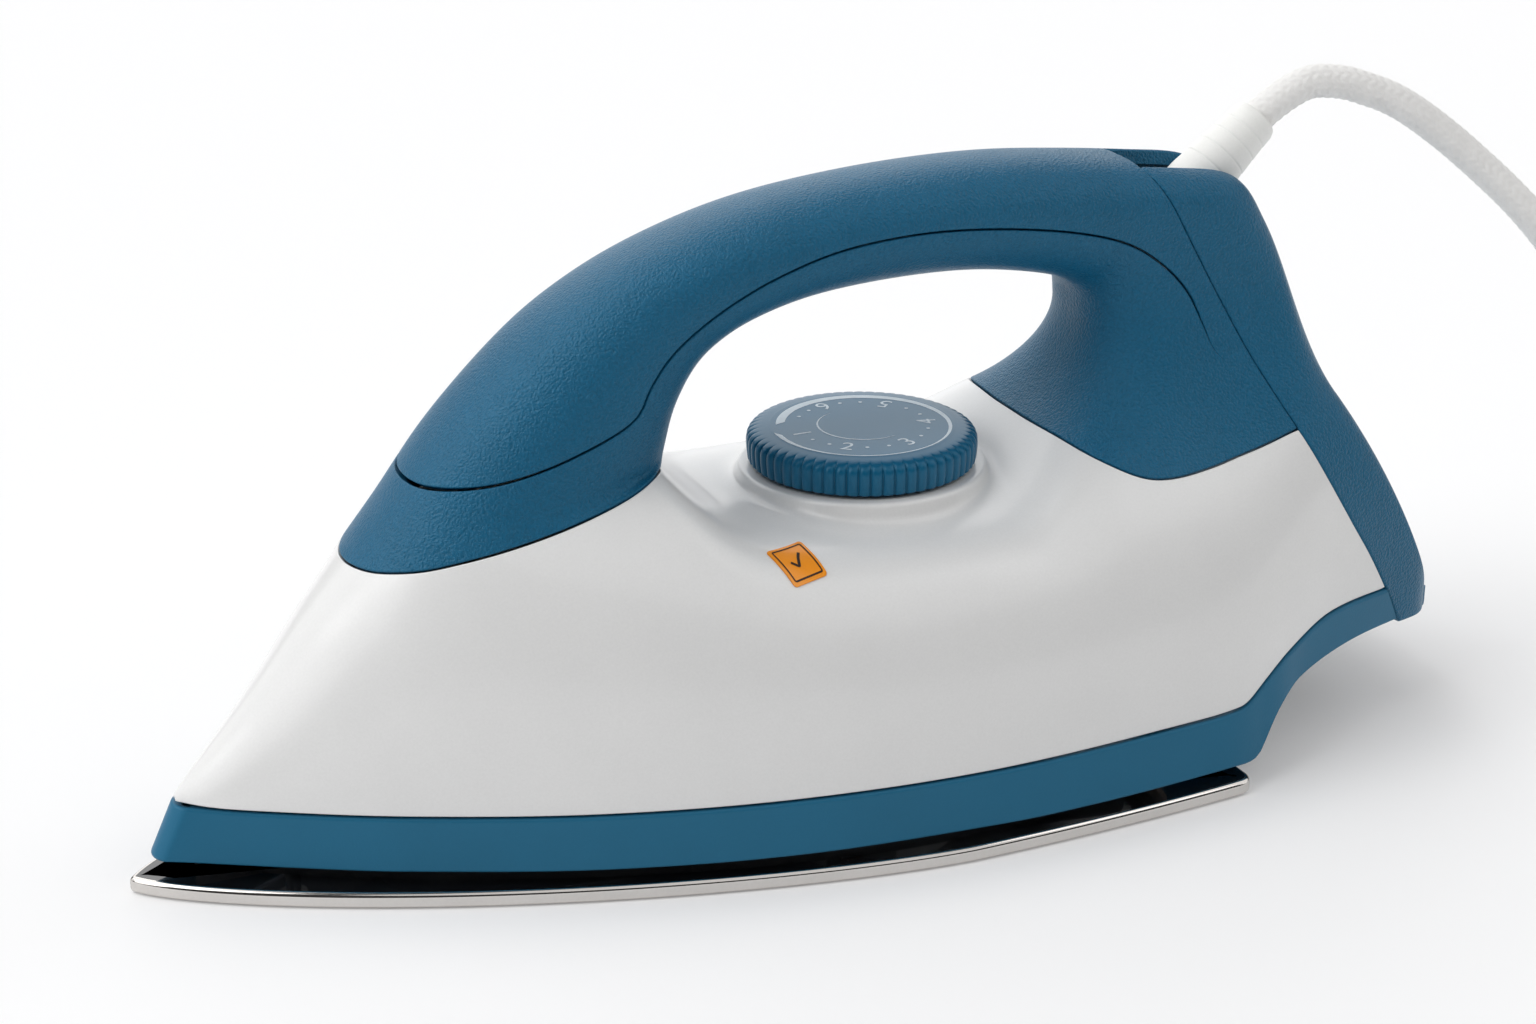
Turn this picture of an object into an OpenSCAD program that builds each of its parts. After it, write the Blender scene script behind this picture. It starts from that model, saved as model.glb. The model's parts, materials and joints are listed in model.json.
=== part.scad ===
// Household dry iron, as used to melt wax into skis.
// Nose towards -X, +Z up, mirror plane y = 0, origin at the centre of the flat ironing face.

/* [Soleplate] */
// Length of the soleplate
sole_l = 225; // [215:1:235]
// Greatest width of the soleplate
sole_w = 112.5; // [106:0.5:118]
// Thickness of the polished plate
sole_t = 3.2; // [2.6:0.1:4]

/* [Housing] */
// Wall of the moulded shells
wall = 2.4; // [2:0.1:3]
// Height of the skirt's upper seam
skirt_top = 18; // [17:0.5:19]
// Gap between neighbouring shells
seam_gap = 0.3; // [0.2:0.05:0.5]

/* [Dial] */
// Place of the dial's axis along the iron
dial_x = 45.4; // [43:0.2:48]
// Outer radius of the ribbed dial
dial_r = 24; // [22:0.5:25]
// Number of finger ribs round the dial
dial_ribs = 64; // [48:1:72]

/* [Cord] */
// Radius of the braided cord
cord_r = 3.6; // [3:0.1:3.7]
// Lean of the cord guard above the horizontal
guard_lean = 41.6; // [36:0.2:46]

/* [Hidden] */

eps = 0.01;
half_sole = sole_l / 2;
running = 0.05;   // radial clearance of a turning fit
loose = 0.3;      // radial clearance of a screw in its hole

// ---------- curves and lofts ----------

// Smooth curve through rows of [position, value]; a value may be a vector.
function seg(t, x, i = 0) = (i >= len(t) - 2 || x < t[i + 1][0]) ? i : seg(t, x, i + 1);
function slope(t, i) =
    let(a = max(i - 1, 0), b = min(i + 1, len(t) - 1)) (t[b][1] - t[a][1]) / (t[b][0] - t[a][0]);
function curve(t, x) =
    let(i = seg(t, x), h = t[i + 1][0] - t[i][0], u = min(max((x - t[i][0]) / h, 0), 1))
    (2 * u ^ 3 - 3 * u ^ 2 + 1) * t[i][1] + (u ^ 3 - 2 * u ^ 2 + u) * h * slope(t, i)
    + (3 * u ^ 2 - 2 * u ^ 3) * t[i + 1][1] + (u ^ 3 - u ^ 2) * h * slope(t, i + 1);
function signed_pow(v, p) = sign(v) * pow(abs(v), p);
function unit(v) = v / norm(v);
function sum(v, i = 0) = i == len(v) - 1 ? v[i] : v[i] + sum(v, i + 1);

// Twice the area of a ring as a vector, by the right-hand rule.
function ring_area(r) = let(n = len(r)) sum([for (i = [0:n - 1]) cross(r[i], r[(i + 1) % n])]);
function reversed(v) = [for (i = [len(v) - 1:-1:0]) v[i]];

// Closed solid through a list of rings with the same number of points, capped at both ends.
module loft(rings_in) {
    n = len(rings_in[0]);
    last = len(rings_in) - 1;
    mid = rings_in[floor(len(rings_in) / 2)];
    along = sum(rings_in[floor(len(rings_in) / 2) + 1]) / n - sum(mid) / n;
    rings = ring_area(mid) * along > 0 ? [for (r = rings_in) reversed(r)] : rings_in;
    points = concat([for (r = rings) each r], [sum(rings[0]) / n, sum(rings[last]) / n]);
    cap = len(points);
    sides = [for (i = [0:last - 1], j = [0:n - 1]) let(k = (j + 1) % n)
        each [[i * n + j, i * n + k, (i + 1) * n + k], [i * n + j, (i + 1) * n + k, (i + 1) * n + j]]];
    ends = [for (j = [0:n - 1]) let(k = (j + 1) % n)
        each [[j, cap - 2, k], [last * n + j, last * n + k, cap - 1]]];
    polyhedron(points = points, faces = concat(sides, ends));
}

// Prism along Y from an outline in x and z.
module side_prism(outline, half_width = 90) {
    rotate([90, 0, 0])
        linear_extrude(height = 2 * half_width, center = true)
            polygon(outline);
}

// Round bar along a list of points; the cross-section is carried along without twisting.
module tube(path, r, sides = 8) {
    last = len(path) - 1;
    way = [for (i = [0:last]) unit(path[min(i + 1, last)] - path[max(i - 1, 0)])];
    across = [for (i = 0, a = unit(cross(way[0], [0.3, 0.5, 0.8])); i <= last;
        i = i + 1, a = unit(a - (a * way[min(i, last)]) * way[min(i, last)])) a];
    loft([for (i = [0:last])
        let(b = cross(way[i], across[i]))
        [for (k = [0:sides - 1]) path[i] + r * (cos(360 * k / sides) * across[i] + sin(360 * k / sides) * b)]]);
}
function smooth_path(keys, steps) =
    let(rows = [for (i = [0:len(keys) - 1]) [i, keys[i]]], n = (len(keys) - 1) * steps)
    [for (i = [0:n]) curve(rows, i / steps)];

// ---------- soleplate outline ----------

nose_power = 1.509;
side_power = 0.769;
widest = 0.703;      // share of the length where the plate is widest
rear_taper = 0.065;
rear_corner = 3.5;

function plate_half(t) = t < widest
    ? pow(1 - pow(1 - t / widest, nose_power), side_power)
    : 1 - rear_taper * pow((t - widest) / (1 - widest), 2);
function corner_cut(x) =
    let(d = max(x - (half_sole - rear_corner), 0))
    rear_corner - sqrt(max(rear_corner * rear_corner - d * d, 0));
function sole_half(x) = sole_w / 2 * plate_half((x + half_sole) / sole_l) - corner_cut(x);
// Stations crowd towards both ends.
function station(i, n) = -cos(180 * i / n) * half_sole;
function plan_outline(inset, n = 36) =
    let(side = [for (i = [0:n]) let(x = station(i, n))
        [x * (1 - inset / half_sole), max(sole_half(x) - inset, 0)]])
    concat([for (p = side) if (p.y > 0 || p.x < 0) [p.x, -p.y]],
        [for (i = [n:-1:1]) if (side[i].y > 0) side[i]]);

module plan_plate(inset, z0, z1) {
    translate([0, 0, z0])
        linear_extrude(height = z1 - z0)
            polygon(plan_outline(inset));
}

module sole_plate() {
    color([0.76, 0.75, 0.74]) {
        plan_plate(0.8, 0, 0.5);
        plan_plate(0, 0.5, sole_t - 0.7);
        plan_plate(0.6, sole_t - 0.7, sole_t);
    }
}

// ---------- heating element and casting ----------

element_r = 4;
element_z = 8.4;
loop_r = 13;
loop_x = -45;
leg_angle = 8.5;
leg_l = 138;
elbow_r = 9;
riser_top = 28;
cast_top = 8;
pillar_r = 5;
pillar_top = 24;
front_screw_x = -40;
rear_screw_x = 91;
skirt_screw_places = [[-80, 0], [22, 38], [22, -38]];
loop_start = [loop_x - loop_r * sin(leg_angle), loop_r * cos(leg_angle)];
leg_end = loop_start + leg_l * [cos(leg_angle), sin(leg_angle)];

// Channel of the U-shaped bar: a nose arc, two legs and the upturned ends.
module element_channel(r) {
    translate([loop_x, 0, element_z])
        rotate([0, 0, 90 + leg_angle])
            rotate_extrude(angle = 180 - 2 * leg_angle)
                translate([loop_r, 0])
                    circle(r = r);
    for (side = [-1, 1])
        translate([loop_start.x, side * loop_start.y, element_z])
            rotate([0, 90, side * leg_angle])
                cylinder(r = r, h = leg_l);
}
module riser_channel(r) {
    for (side = [-1, 1])
        translate([leg_end.x - 1, side * leg_end.y, element_z])
            rotate([0, 0, side * leg_angle])
                translate([0, -r, -r])
                    cube([elbow_r + r + 1, 2 * r, 30]);
}

// Centre line of one half of the bar, from the top of its upturned end to the nose.
leg_way = [cos(leg_angle), sin(leg_angle), 0];
function element_half() = let(foot = [leg_end.x, leg_end.y, element_z])
    concat([foot + elbow_r * leg_way + [0, 0, riser_top - element_z]],
        [for (a = [90:-22.5:0]) foot + elbow_r * (sin(a) * leg_way + [0, 0, 1 - cos(a)])],
        [for (a = [90 + leg_angle:(90 - leg_angle) / 6:180])
            [loop_x + loop_r * cos(a), loop_r * sin(a), element_z]]);
module heating_element() {
    half = element_half();
    color([0.52, 0.5, 0.48])
        tube(concat(half, [for (i = [len(half) - 2:-1:0]) [half[i].x, -half[i].y, half[i].z]]), element_r, 12);
}

module sole_casting() {
    color([0.6, 0.61, 0.62])
        difference() {
            union() {
                plan_plate(13, sole_t, cast_top);
                intersection() {
                    element_channel(element_r + 2.6);
                    plan_plate(10, sole_t, cast_top + 8);
                }
                for (x = [front_screw_x, rear_screw_x])
                    translate([x, 0, sole_t])
                        cylinder(r = pillar_r, h = pillar_top - sole_t);
            }
            element_channel(element_r + running);
            riser_channel(element_r + running);
            for (x = [front_screw_x, rear_screw_x])
                translate([x, 0, 10])
                    cylinder(r = 2.05, h = 30);
            for (p = skirt_screw_places)
                translate([p.x, p.y, sole_t + 1.5])
                    cylinder(r = 1.55, h = 30);
        }
}

module element_terminals() {
    for (side = [-1, 1])
        translate([leg_end.x, side * leg_end.y, riser_top] + elbow_r * [cos(leg_angle), side * sin(leg_angle), 0]) {
            color([0.92, 0.9, 0.84]) cylinder(r = 3.4, h = 5);
            color([0.72, 0.72, 0.7]) translate([0, 0, 5]) cylinder(r = 1.2, h = 9);
        }
}

shield_z = pillar_top;
shield_t = 0.8;
module heat_shield() {
    color([0.7, 0.71, 0.72])
        difference() {
            translate([0, 0, shield_z])
                linear_extrude(height = shield_t)
                    polygon(plan_outline(11.5));
            for (x = [front_screw_x, rear_screw_x])
                translate([x, 0, shield_z - 1])
                    cylinder(r = 2 + loose, h = 3);
            translate([dial_x, 0, shield_z - 1])
                cylinder(r = 21.5, h = 3);
            translate([56, -9, shield_z - 1]) cube([27, 27, 3]);
            for (side = [-1, 1])
                translate([leg_end.x + 9, side * (leg_end.y + 1.3), shield_z - 1])
                    cylinder(r = 6.5, h = 3);
            translate([-72, -60, shield_z - 1]) mirror([1, 0, 0]) cube([60, 120, 3]);
        }
}

// ---------- outer form of the housing ----------
// Rows are [x, value]: the half-width at the seam, the seam's height and the crown's height.

nose_x = -102.4;
heel_x = 172.4;
half_width = [[nose_x, 1.2], [-98.7, 5.3], [-90.3, 11], [-64.5, 25.1], [-29, 39.9], [9, 49.6], [51, 53.6],
    [99, 50.4], [112, 48], [126, 42.5], [140, 37], [157, 32.2], [166, 29.8], [171, 27.4], [heel_x, 24.5]];
seam_height = [[nose_x, skirt_top], [108, skirt_top], [112, 18.3], [117, 21.4], [126, 26.2], [138, 30.2],
    [157, 31], [heel_x, 31]];
// The side walls close at this height where nothing levels them off.
wall_top = [[nose_x, 19.5], [-86.3, 37.9], [-75.3, 52.5], [-66.9, 62.2], [-59, 72.4], [-48, 80.5], [-30, 82.5],
    [0, 81], [30, 79], [100, 78], [120, 81], [140, 90], [heel_x, 94]];
// The deck round the dial and the flat back level the form off at this height.
deck_top = [[nose_x, 130], [-20, 110], [-8, 86], [2, 71.4], [12, 65], [24, 63.6], [60, 63.6], [69, 66], [78, 75.6],
    [84, 83.6], [91, 97], [104, 122], [118, 130], [127, 118.5], [149, 70.6], [heel_x, 25.6]];
roundness = [[nose_x, 1.5], [-86, 1.75], [-66, 2.05], [-35, 2.2], [0, 2.3], [60, 2.3], [110, 2.35], [140, 2.5],
    [150, 2.75], [158, 3.3], [heel_x, 5]];
// Softness of the edge between walls and deck.
shoulder = [[nose_x, 3.2], [-20, 3.2], [0, 6], [62, 6.5], [80, 8], [96, 4], [110, 3.2], [138, 7], [155, 6],
    [heel_x, 3]];

function level(x, z, lid) = let(s = curve(shoulder, x)) min(z, lid) - s * ln(1 + exp(-abs(z - lid) / s));
// Height of the form over a point of the plan.
function body_top(x, y) =
    let(z0 = curve(seam_height, x), n = curve(roundness, x), h = curve(wall_top, x) - z0)
    level(x, z0 + h * pow(max(1 - pow(abs(y) / curve(half_width, x), n), 0), 1 / n), curve(deck_top, x));

// Half of a cross-section, from the lower edge to the crown, then mirrored into a ring.
function body_section(x, inset, drop, steps = 9) =
    let(z0 = curve(seam_height, x), n = curve(roundness, x),
        w = max(curve(half_width, x) - inset, 0.4), h = max(curve(wall_top, x) - inset - z0, 0.6),
        side = concat([[w, z0 - drop]],
            [for (i = [0:steps]) let(a = 90 * i / steps)
                [max(w * signed_pow(cos(a), 2 / n), 0.02), z0 + h * signed_pow(sin(a), 2 / n)]]),
        lid = curve(deck_top, x) - inset)
    concat([for (p = side) [x, p.x, level(x, p.y, lid)]],
        [for (i = [len(side) - 1:-1:0]) [x, -side[i].x, level(x, side[i].y, lid)]]);

body_stations = [nose_x, -101, -98.5, -95, -90, -84, -77, -70, -63, -56, -48, -38, -28, -18, -11, -6, -2, 2, 6, 11,
    17, 26, 39, 52, 60, 66, 71, 76, 80, 84, 88, 93, 99, 106, 113, 120, 127, 134, 139, 143, 147, 151, 156, 162,
    168, 171, heel_x];
module body_form(inset = 0, drop = 8.4) {
    loft([for (x = body_stations)
        body_section(x < 0 ? x * (1 + inset / nose_x) : x * (1 - inset / heel_x), inset, drop)]);
}

// ---------- outer form of the handle ----------
// Rows are [index, [x and z of the top line, x and z of the finger line, half-width, squareness above, below]].

handle_keys = [
    [1, [-57.2, 73.8, -0.4, 79.4, 22.4, 2.15, 2.15]],
    [2, [-47.7, 86, 1.9, 87.9, 20.9, 2.2, 2.2]],
    [3, [-33, 100.9, 6.6, 95.6, 18.9, 2.2, 2.2]],
    [4, [-20.5, 110.2, 12.4, 100, 17.4, 2.25, 2.25]],
    [5, [-4.4, 118.2, 20, 103.1, 16.4, 2.3, 2.3]],
    [6, [18.2, 125, 31.6, 105.6, 15.9, 2.3, 2.3]],
    [7, [45.3, 128.3, 47.9, 106.7, 15.7, 2.3, 2.3]],
    [8, [71.7, 128.9, 64, 106.4, 15.7, 2.3, 2.3]],
    [9, [92.8, 127, 77.4, 104.6, 15.8, 2.5, 2.35]],
    [10, [111.6, 124.2, 88, 102, 16, 3.2, 2.5]],
    [11, [127.2, 120.8, 92.4, 98.8, 16.2, 4.5, 2.8]],
    [12, [133.8, 111, 93.2, 93.6, 17, 5, 2.8]]];
first_key = 1;
last_key = 12;
ring_sides = 28;

// A ring stands in the plane through its top line and finger line points.
function handle_ring(t) =
    let(k = curve(handle_keys, t), top = [k[0], k[1]], low = [k[2], k[3]], c = (top + low) / 2,
        half = (top - low) / 2, a = norm(half), d = unit(half), b = k[4])
    [for (i = [0:ring_sides - 1]) let(f = 360 * i / ring_sides, p = 2 / (cos(f) > 0 ? k[5] : k[6]),
        u = a * signed_pow(cos(f), p), v = b * signed_pow(sin(f), p))
        [c.x + d.x * u, v, c.y + d.y * u]];

// Where the handle meets the body, in plan from the finger side outwards; the end rows mirror their neighbours.
front_foot = [[-1, [-3.8, -11]], [0, [-1.3, 0]], [1, [-3.8, 11]], [2, [-8.8, 19.3]], [3, [-16.5, 23]],
    [4, [-27.5, 24.4]], [5, [-39, 23.6]], [6, [-49, 21]], [7, [-57.5, 16.4]], [8, [-64, 9.2]],
    [9, [-66.6, 0]], [10, [-64, -9.2]]];
rear_foot = [[-1, [80.9, -13]], [0, [80.3, 0]], [1, [80.9, 13]], [2, [84, 26.5]], [3, [91.5, 33]], [4, [101, 34.3]],
    [5, [115, 32.6]], [6, [130, 31.2]], [7, [140.5, 29.3]], [8, [147, 21]], [9, [149.3, 0]], [10, [147, -21]]];
foot_spans = 9;
function foot_point(foot, t) = let(p = curve(foot, t)) [p.x, p.y, body_top(p.x, p.y)];
function foot_ring(foot) =
    [for (i = [0:ring_sides - 1])
        let(s = abs(1 - 2 * i / ring_sides), p = foot_point(foot, s * foot_spans))
        i <= ring_sides / 2 ? p : [p.x, -p.y, p.z]];

// Direction in which the pillar's skin runs out over the body at a point p of its foot.
function body_slope(p, s = 0.05) = let(y = abs(p.y))
    [body_top(p.x + s, y) - body_top(p.x - s, y), body_top(p.x, y + s) - body_top(p.x, y - s)] / (2 * s);
function flare_way(f, p) =
    let(s = body_slope(p), w = [(cos(f) > 0 ? 0.45 : 0.75) * cos(f), 0.76 * sin(f)])
    unit([w.x, w.y, w.x * s.x + abs(w.y) * s.y]);
function hermite(p, q, a, b, u) =
    (2 * u ^ 3 - 3 * u ^ 2 + 1) * p + (u ^ 3 - 2 * u ^ 2 + u) * a
    + (3 * u ^ 2 - 2 * u ^ 3) * q + (u ^ 3 - u ^ 2) * b;
function flare_rings(steps) =
    let(top = handle_ring(last_key), before = handle_ring(last_key - 0.2), foot = foot_ring(rear_foot))
    [for (k = [1:steps]) [for (i = [0:ring_sides - 1])
        let(f = 360 * i / ring_sides, l = norm(foot[i] - top[i]))
        hermite(top[i], foot[i], l * unit(top[i] - before[i]), l * flare_way(f, foot[i]), k / steps)]];

// Ring drawn in towards its middle.
function shrunk(ring, inset) = let(c = sum(ring) / len(ring))
    [for (p = ring) c + (p - c) * (1 - inset / norm(p - c))];
function sunk(ring, depth) = [for (p = ring) p - [0, 0, depth]];

// Skin of the handle from its front foot over the grip and down the pillar.
handle_rings = concat([foot_ring(front_foot)],
    [for (i = [0:27]) handle_ring(first_key + i * (last_key - first_key) / 27)], flare_rings(6));
module handle_form(inset = 0, foot_in = 3, foot_drop = 6) {
    inner = [for (r = handle_rings) shrunk(r, inset)];
    loft(concat([sunk(shrunk(inner[0], foot_in), foot_drop)], inner,
        [sunk(shrunk(inner[len(inner) - 1], foot_in), foot_drop)]));
}

// ---------- split lines of the shells, seen from the side ----------

function seam_points(foot, n = 18) =
    [for (i = [0:n]) let(p = foot_point(foot, foot_spans * i / n)) [p.x, p.z]];
// The rear cover's split runs from above the grip to below the heel.
split_line = [[0, [86.5, 157]], [1, [99.5, 133.7]], [2, [109.4, 115.8]], [3, [118.6, 98.5]], [4, [125.6, 84]],
    [5, [131.2, 72.5]], [6, [137.4, 61]], [7, [144.2, 50]], [8, [151, 40]], [9, [157.2, 30]], [10, [163.6, 18.4]],
    [11, [176, -4]]];
split_out = unit([115.3, 64.1]);

module behind_split(gap, depth = 200) {
    line = [for (i = [0:22]) curve(split_line, i / 2) + gap * split_out];
    side_prism(concat(line, [line[22] + depth * split_out, line[0] + depth * split_out]));
}
module before_split(gap) {
    behind_split(-gap, -600);
}
module above_seam(foot, gap) {
    pts = seam_points(foot);
    n = len(pts) - 1;
    side_prism(concat([for (p = pts) p + [0, gap]],
        [[pts[n].x + (pts[n].x > 0 ? 40 : -40), pts[n].y + gap], [pts[n].x + (pts[n].x > 0 ? 40 : -40), 200],
            [pts[0].x, 200]]));
}
module below_seam(foot, gap) {
    pts = seam_points(foot);
    n = len(pts) - 1;
    out = pts[n].x > 0 ? 40 : -40;
    side_prism(concat([pts[0] + [-sign(out) * 8, gap]], [for (p = pts) p + [0, gap]],
        [[pts[n].x + out, pts[n].y + gap], [pts[n].x + out, 9], [pts[0].x - sign(out) * 8, 9]]));
}
skirt_line = [for (x = [-130, 104, 108, 110, 112, 114.5, 117, 121, 126, 132, 138, 147, 157, 180])
    [x, curve(seam_height, x)]];
module above_skirt(gap) {
    side_prism(concat([for (p = skirt_line) p + [0, gap]], [[180, 200], [-130, 200]]));
}
grip_seam = [[0, [-62, 78.1]], [1, [-54.5, 78.3]], [2, [-48.6, 79.2]], [3, [-40, 80.8]], [4, [-30, 83.4]],
    [5, [-20, 86.6]], [6, [-14, 88.9]], [7, [-10.9, 91.2]], [8, [-8.5, 95.5]], [9, [-4.3, 100.5]],
    [10, [2.3, 105.3]], [11, [11, 110]], [12, [19.6, 113.5]], [13, [30.4, 116.6]],
    [14, [41.3, 118.1]], [15, [54, 118.5]],
    [16, [68, 117.5]], [17, [82, 115.4]], [18, [93.3, 112.6]], [19, [101, 109.2]], [20, [107.5, 104.3]],
    [21, [112.1, 98.8]], [22, [114.8, 92.5]], [23, [116.8, 87]], [24, [121, 83]], [25, [127, 81.2]],
    [26, [134, 80.8]]];
module grip_zone(gap) {
    side_prism(concat([for (i = [0:78]) curve(grip_seam, i / 3) + [0, gap]], [[134, 150], [-80, 150], [-80, 80]]));
}

// ---------- housing shells ----------

dial_z = 67.3;
boss_top = 66.5;
boss_r = 25.8;
bush_r = 5;

// resize() to no new size turns each finished shell into one closed surface.
module body_shell() {
    color([0.93, 0.93, 0.92])
        resize([0, 0, 0])
            difference() {
                union() {
                    difference() {
                        body_form();
                        body_form(wall, 12);
                    }
                    translate([dial_x, 0, 57]) cylinder(r = boss_r, h = boss_top - 57, $fn = 72);
                    translate([dial_x, 0, boss_top - 4]) cylinder(r1 = boss_r + 4, r2 = boss_r, h = 3.2, $fn = 72);
                }
                translate([dial_x, 0, 50]) cylinder(r = boss_r - wall, h = boss_top - wall - 50, $fn = 48);
                translate([dial_x, 0, 50]) cylinder(r = bush_r + running, h = 20, $fn = 48);
                above_seam(front_foot, -seam_gap / 2);
                above_seam(rear_foot, -seam_gap / 2);
                behind_split(-seam_gap / 2);
                side_prism(concat([for (p = skirt_line) p + [0, seam_gap / 2]], [[180, -9], [-130, -9]]));
            }
}

module handle_skin() {
    difference() {
        handle_form();
        handle_form(wall, 0, 12);
    }
}

module cord_slot() {
    translate([106, -7.8, 104]) cube([50, 15.6, 40]);
}

module grip_cover() {
    color([0.2, 0.45, 0.6])
        resize([0, 0, 0])
            difference() {
                intersection() {
                    handle_skin();
                    grip_zone(seam_gap / 2);
                    before_split(seam_gap / 2);
                }
                cord_slot();
            }
}

tower_r = 6;
front_tower_top = 77;
rear_tower_top = 75;
cover_screw_z = 40;
cover_screw_x = 134.5;
module screw_tower(x, top) {
    translate([x, 0, pillar_top + shield_t]) cylinder(r = tower_r, h = top - pillar_top - shield_t, $fn = 32);
}
// Web that ties a tower to the walls of the handle.
module tower_web(x, top) {
    intersection() {
        translate([x - 2, -40, top - 8]) cube([4, 80, 8]);
        handle_form(wall / 2, 0, 12);
    }
}
// Arm that takes the rear cover's screw and carries the terminal block.
module cover_arm() {
    translate([rear_screw_x, 0, cover_screw_z]) rotate([0, 90, 0])
        cylinder(r = 4.4, h = cover_screw_x + 1.4 - rear_screw_x, $fn = 24);
    translate([block_x + 0.2, -3, cover_screw_z]) cube([2.4, 6, block_z - cover_screw_z]);
}
module handle_base() {
    color([0.18, 0.42, 0.57])
        resize([0, 0, 0])
            difference() {
                union() {
                    difference() {
                        union() {
                            intersection() {
                                handle_skin();
                                before_split(seam_gap / 2);
                            }
                            tower_web(front_screw_x, front_tower_top);
                            tower_web(rear_screw_x, rear_tower_top);
                        }
                        below_seam(front_foot, seam_gap / 2);
                        below_seam(rear_foot, seam_gap / 2);
                        grip_zone(-seam_gap / 2);
                    }
                    screw_tower(front_screw_x, front_tower_top);
                    screw_tower(rear_screw_x, rear_tower_top);
                    cover_arm();
                }
                for (p = [[front_screw_x, front_tower_top], [rear_screw_x, rear_tower_top]]) {
                    translate([p.x, 0, 0]) cylinder(r = 2 + loose, h = 100, $fn = 24);
                    translate([p.x, 0, p.y]) cylinder(r = 3.8 + loose, h = 4, $fn = 24);
                }
                translate([cover_screw_x - 1, 0, cover_screw_z]) rotate([0, 90, 0])
                    cylinder(r = 1.55, h = 10, $fn = 24);
            }
}

// Body below the rear foot and handle above it.
module rear_form() {
    intersection() {
        body_form();
        below_seam(rear_foot, 0);
    }
    handle_form();
}
module rear_cover() {
    color([0.18, 0.42, 0.57])
        resize([0, 0, 0])
            difference() {
                intersection() {
                    rear_form();
                    behind_split(seam_gap / 2);
                }
                difference() {
                    union() {
                        body_form(wall, 4);
                        handle_form(wall, 0, 12);
                    }
                    translate([cover_screw_x + 2, 0, cover_screw_z]) rotate([0, 90, 0])
                        cylinder(r = 5, h = 40, $fn = 24);
                }
                cord_slot();
                translate([130, 0, cover_screw_z]) rotate([0, 90, 0])
                    cylinder(r = 1.5 + loose, h = 60, $fn = 24);
                translate([cover_screw_x + 26, 0, cover_screw_z]) rotate([0, 90, 0])
                    cylinder(r = 3.4, h = 30, $fn = 24);
            }
}

// ---------- skirt ----------

// Rows are [x, value]: lower edge height, upper edge height and the half-widths along both.
skirt_nose_x = -108;
skirt_low = [[skirt_nose_x, 7.4], [-95, 6.6], [-60, 6.2], [107, 6.2], [115, 6.4], [118, 10.4], [122, 14.8],
    [129, 18.6], [145, 21.6], [166, 22]];
skirt_high = [[skirt_nose_x, 8], [nose_x, skirt_top - 0.2], [-99, skirt_top], [-96, skirt_top], [108, skirt_top],
    [112, 18.3], [117, 21.4], [126, 26.2], [138, 30.2], [157, 31], [166, 31]];
skirt_half_low = [[skirt_nose_x, 1.2], [-99, 6.4], [-82, 16.4], [-64.6, 25.4], [-29, 40.3], [9, 50.3], [51, 54.7],
    [74, 54.6], [99, 52.6], [112, 50.6], [122, 46], [129, 42], [145, 36], [166, 29]];
skirt_half_high = [[skirt_nose_x, 1], [nose_x, 1.6], [-98.7, 5.3], [-90.3, 11], [-64.5, 25.1], [-29, 39.9],
    [9, 49.6], [51, 53.6], [99, 50.4], [112, 48], [126, 42.5], [140, 37], [157, 32.2], [166, 29.8]];
skirt_stations = concat([for (i = [0:6]) skirt_nose_x + i * i * 0.45], [for (x = [-84:16:108]) x],
    [112, 114, 116, 118.5, 122, 127, 134, 145, 166]);
tail_floor = [[-110, -9], [111, -9], [113.5, wall], [180, wall]];

// Ring of the skirt at x: inset moves the walls in, lift raises the floor, over raises the rim.
function skirt_section(x, inset, lift, over) =
    let(z0 = curve(skirt_low, x) + lift, z1 = curve(skirt_high, x) + over,
        w0 = max(curve(skirt_half_low, x) - inset, 0.2), w1 = max(curve(skirt_half_high, x) - inset, 0.2))
    [[x, w0, z0], [x, w1, z1], [x, -w1, z1], [x, -w0, z0]];
module skirt_outer() {
    loft([for (x = skirt_stations) skirt_section(x, 0, 0, -seam_gap)]);
}
module skirt_inner() {
    loft([for (x = skirt_stations) if (x > -101) skirt_section(x, wall, curve(tail_floor, x), 9)]);
}
tab_z = 11;
module skirt_tab(p) {
    reach = 14;
    translate([p.x - 5, p.y == 0 ? -reach : (p.y > 0 ? p.y - 4 : p.y + 4 - 2 * reach), tab_z])
        cube([10, 2 * reach, 2.4]);
}
module base_skirt() {
    color([0.18, 0.4, 0.52])
        resize([0, 0, 0])
            difference() {
                union() {
                    difference() {
                        skirt_outer();
                        skirt_inner();
                    }
                    intersection() {
                        union() {
                            for (p = skirt_screw_places)
                                skirt_tab(p);
                        }
                        loft([for (x = skirt_stations) skirt_section(x, wall / 2, 0, 0)]);
                    }
                }
                for (p = skirt_screw_places)
                    translate([p.x, p.y, 0]) cylinder(r = 1.5 + loose, h = 40, $fn = 24);
                behind_split(-seam_gap / 2);
            }
}

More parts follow.
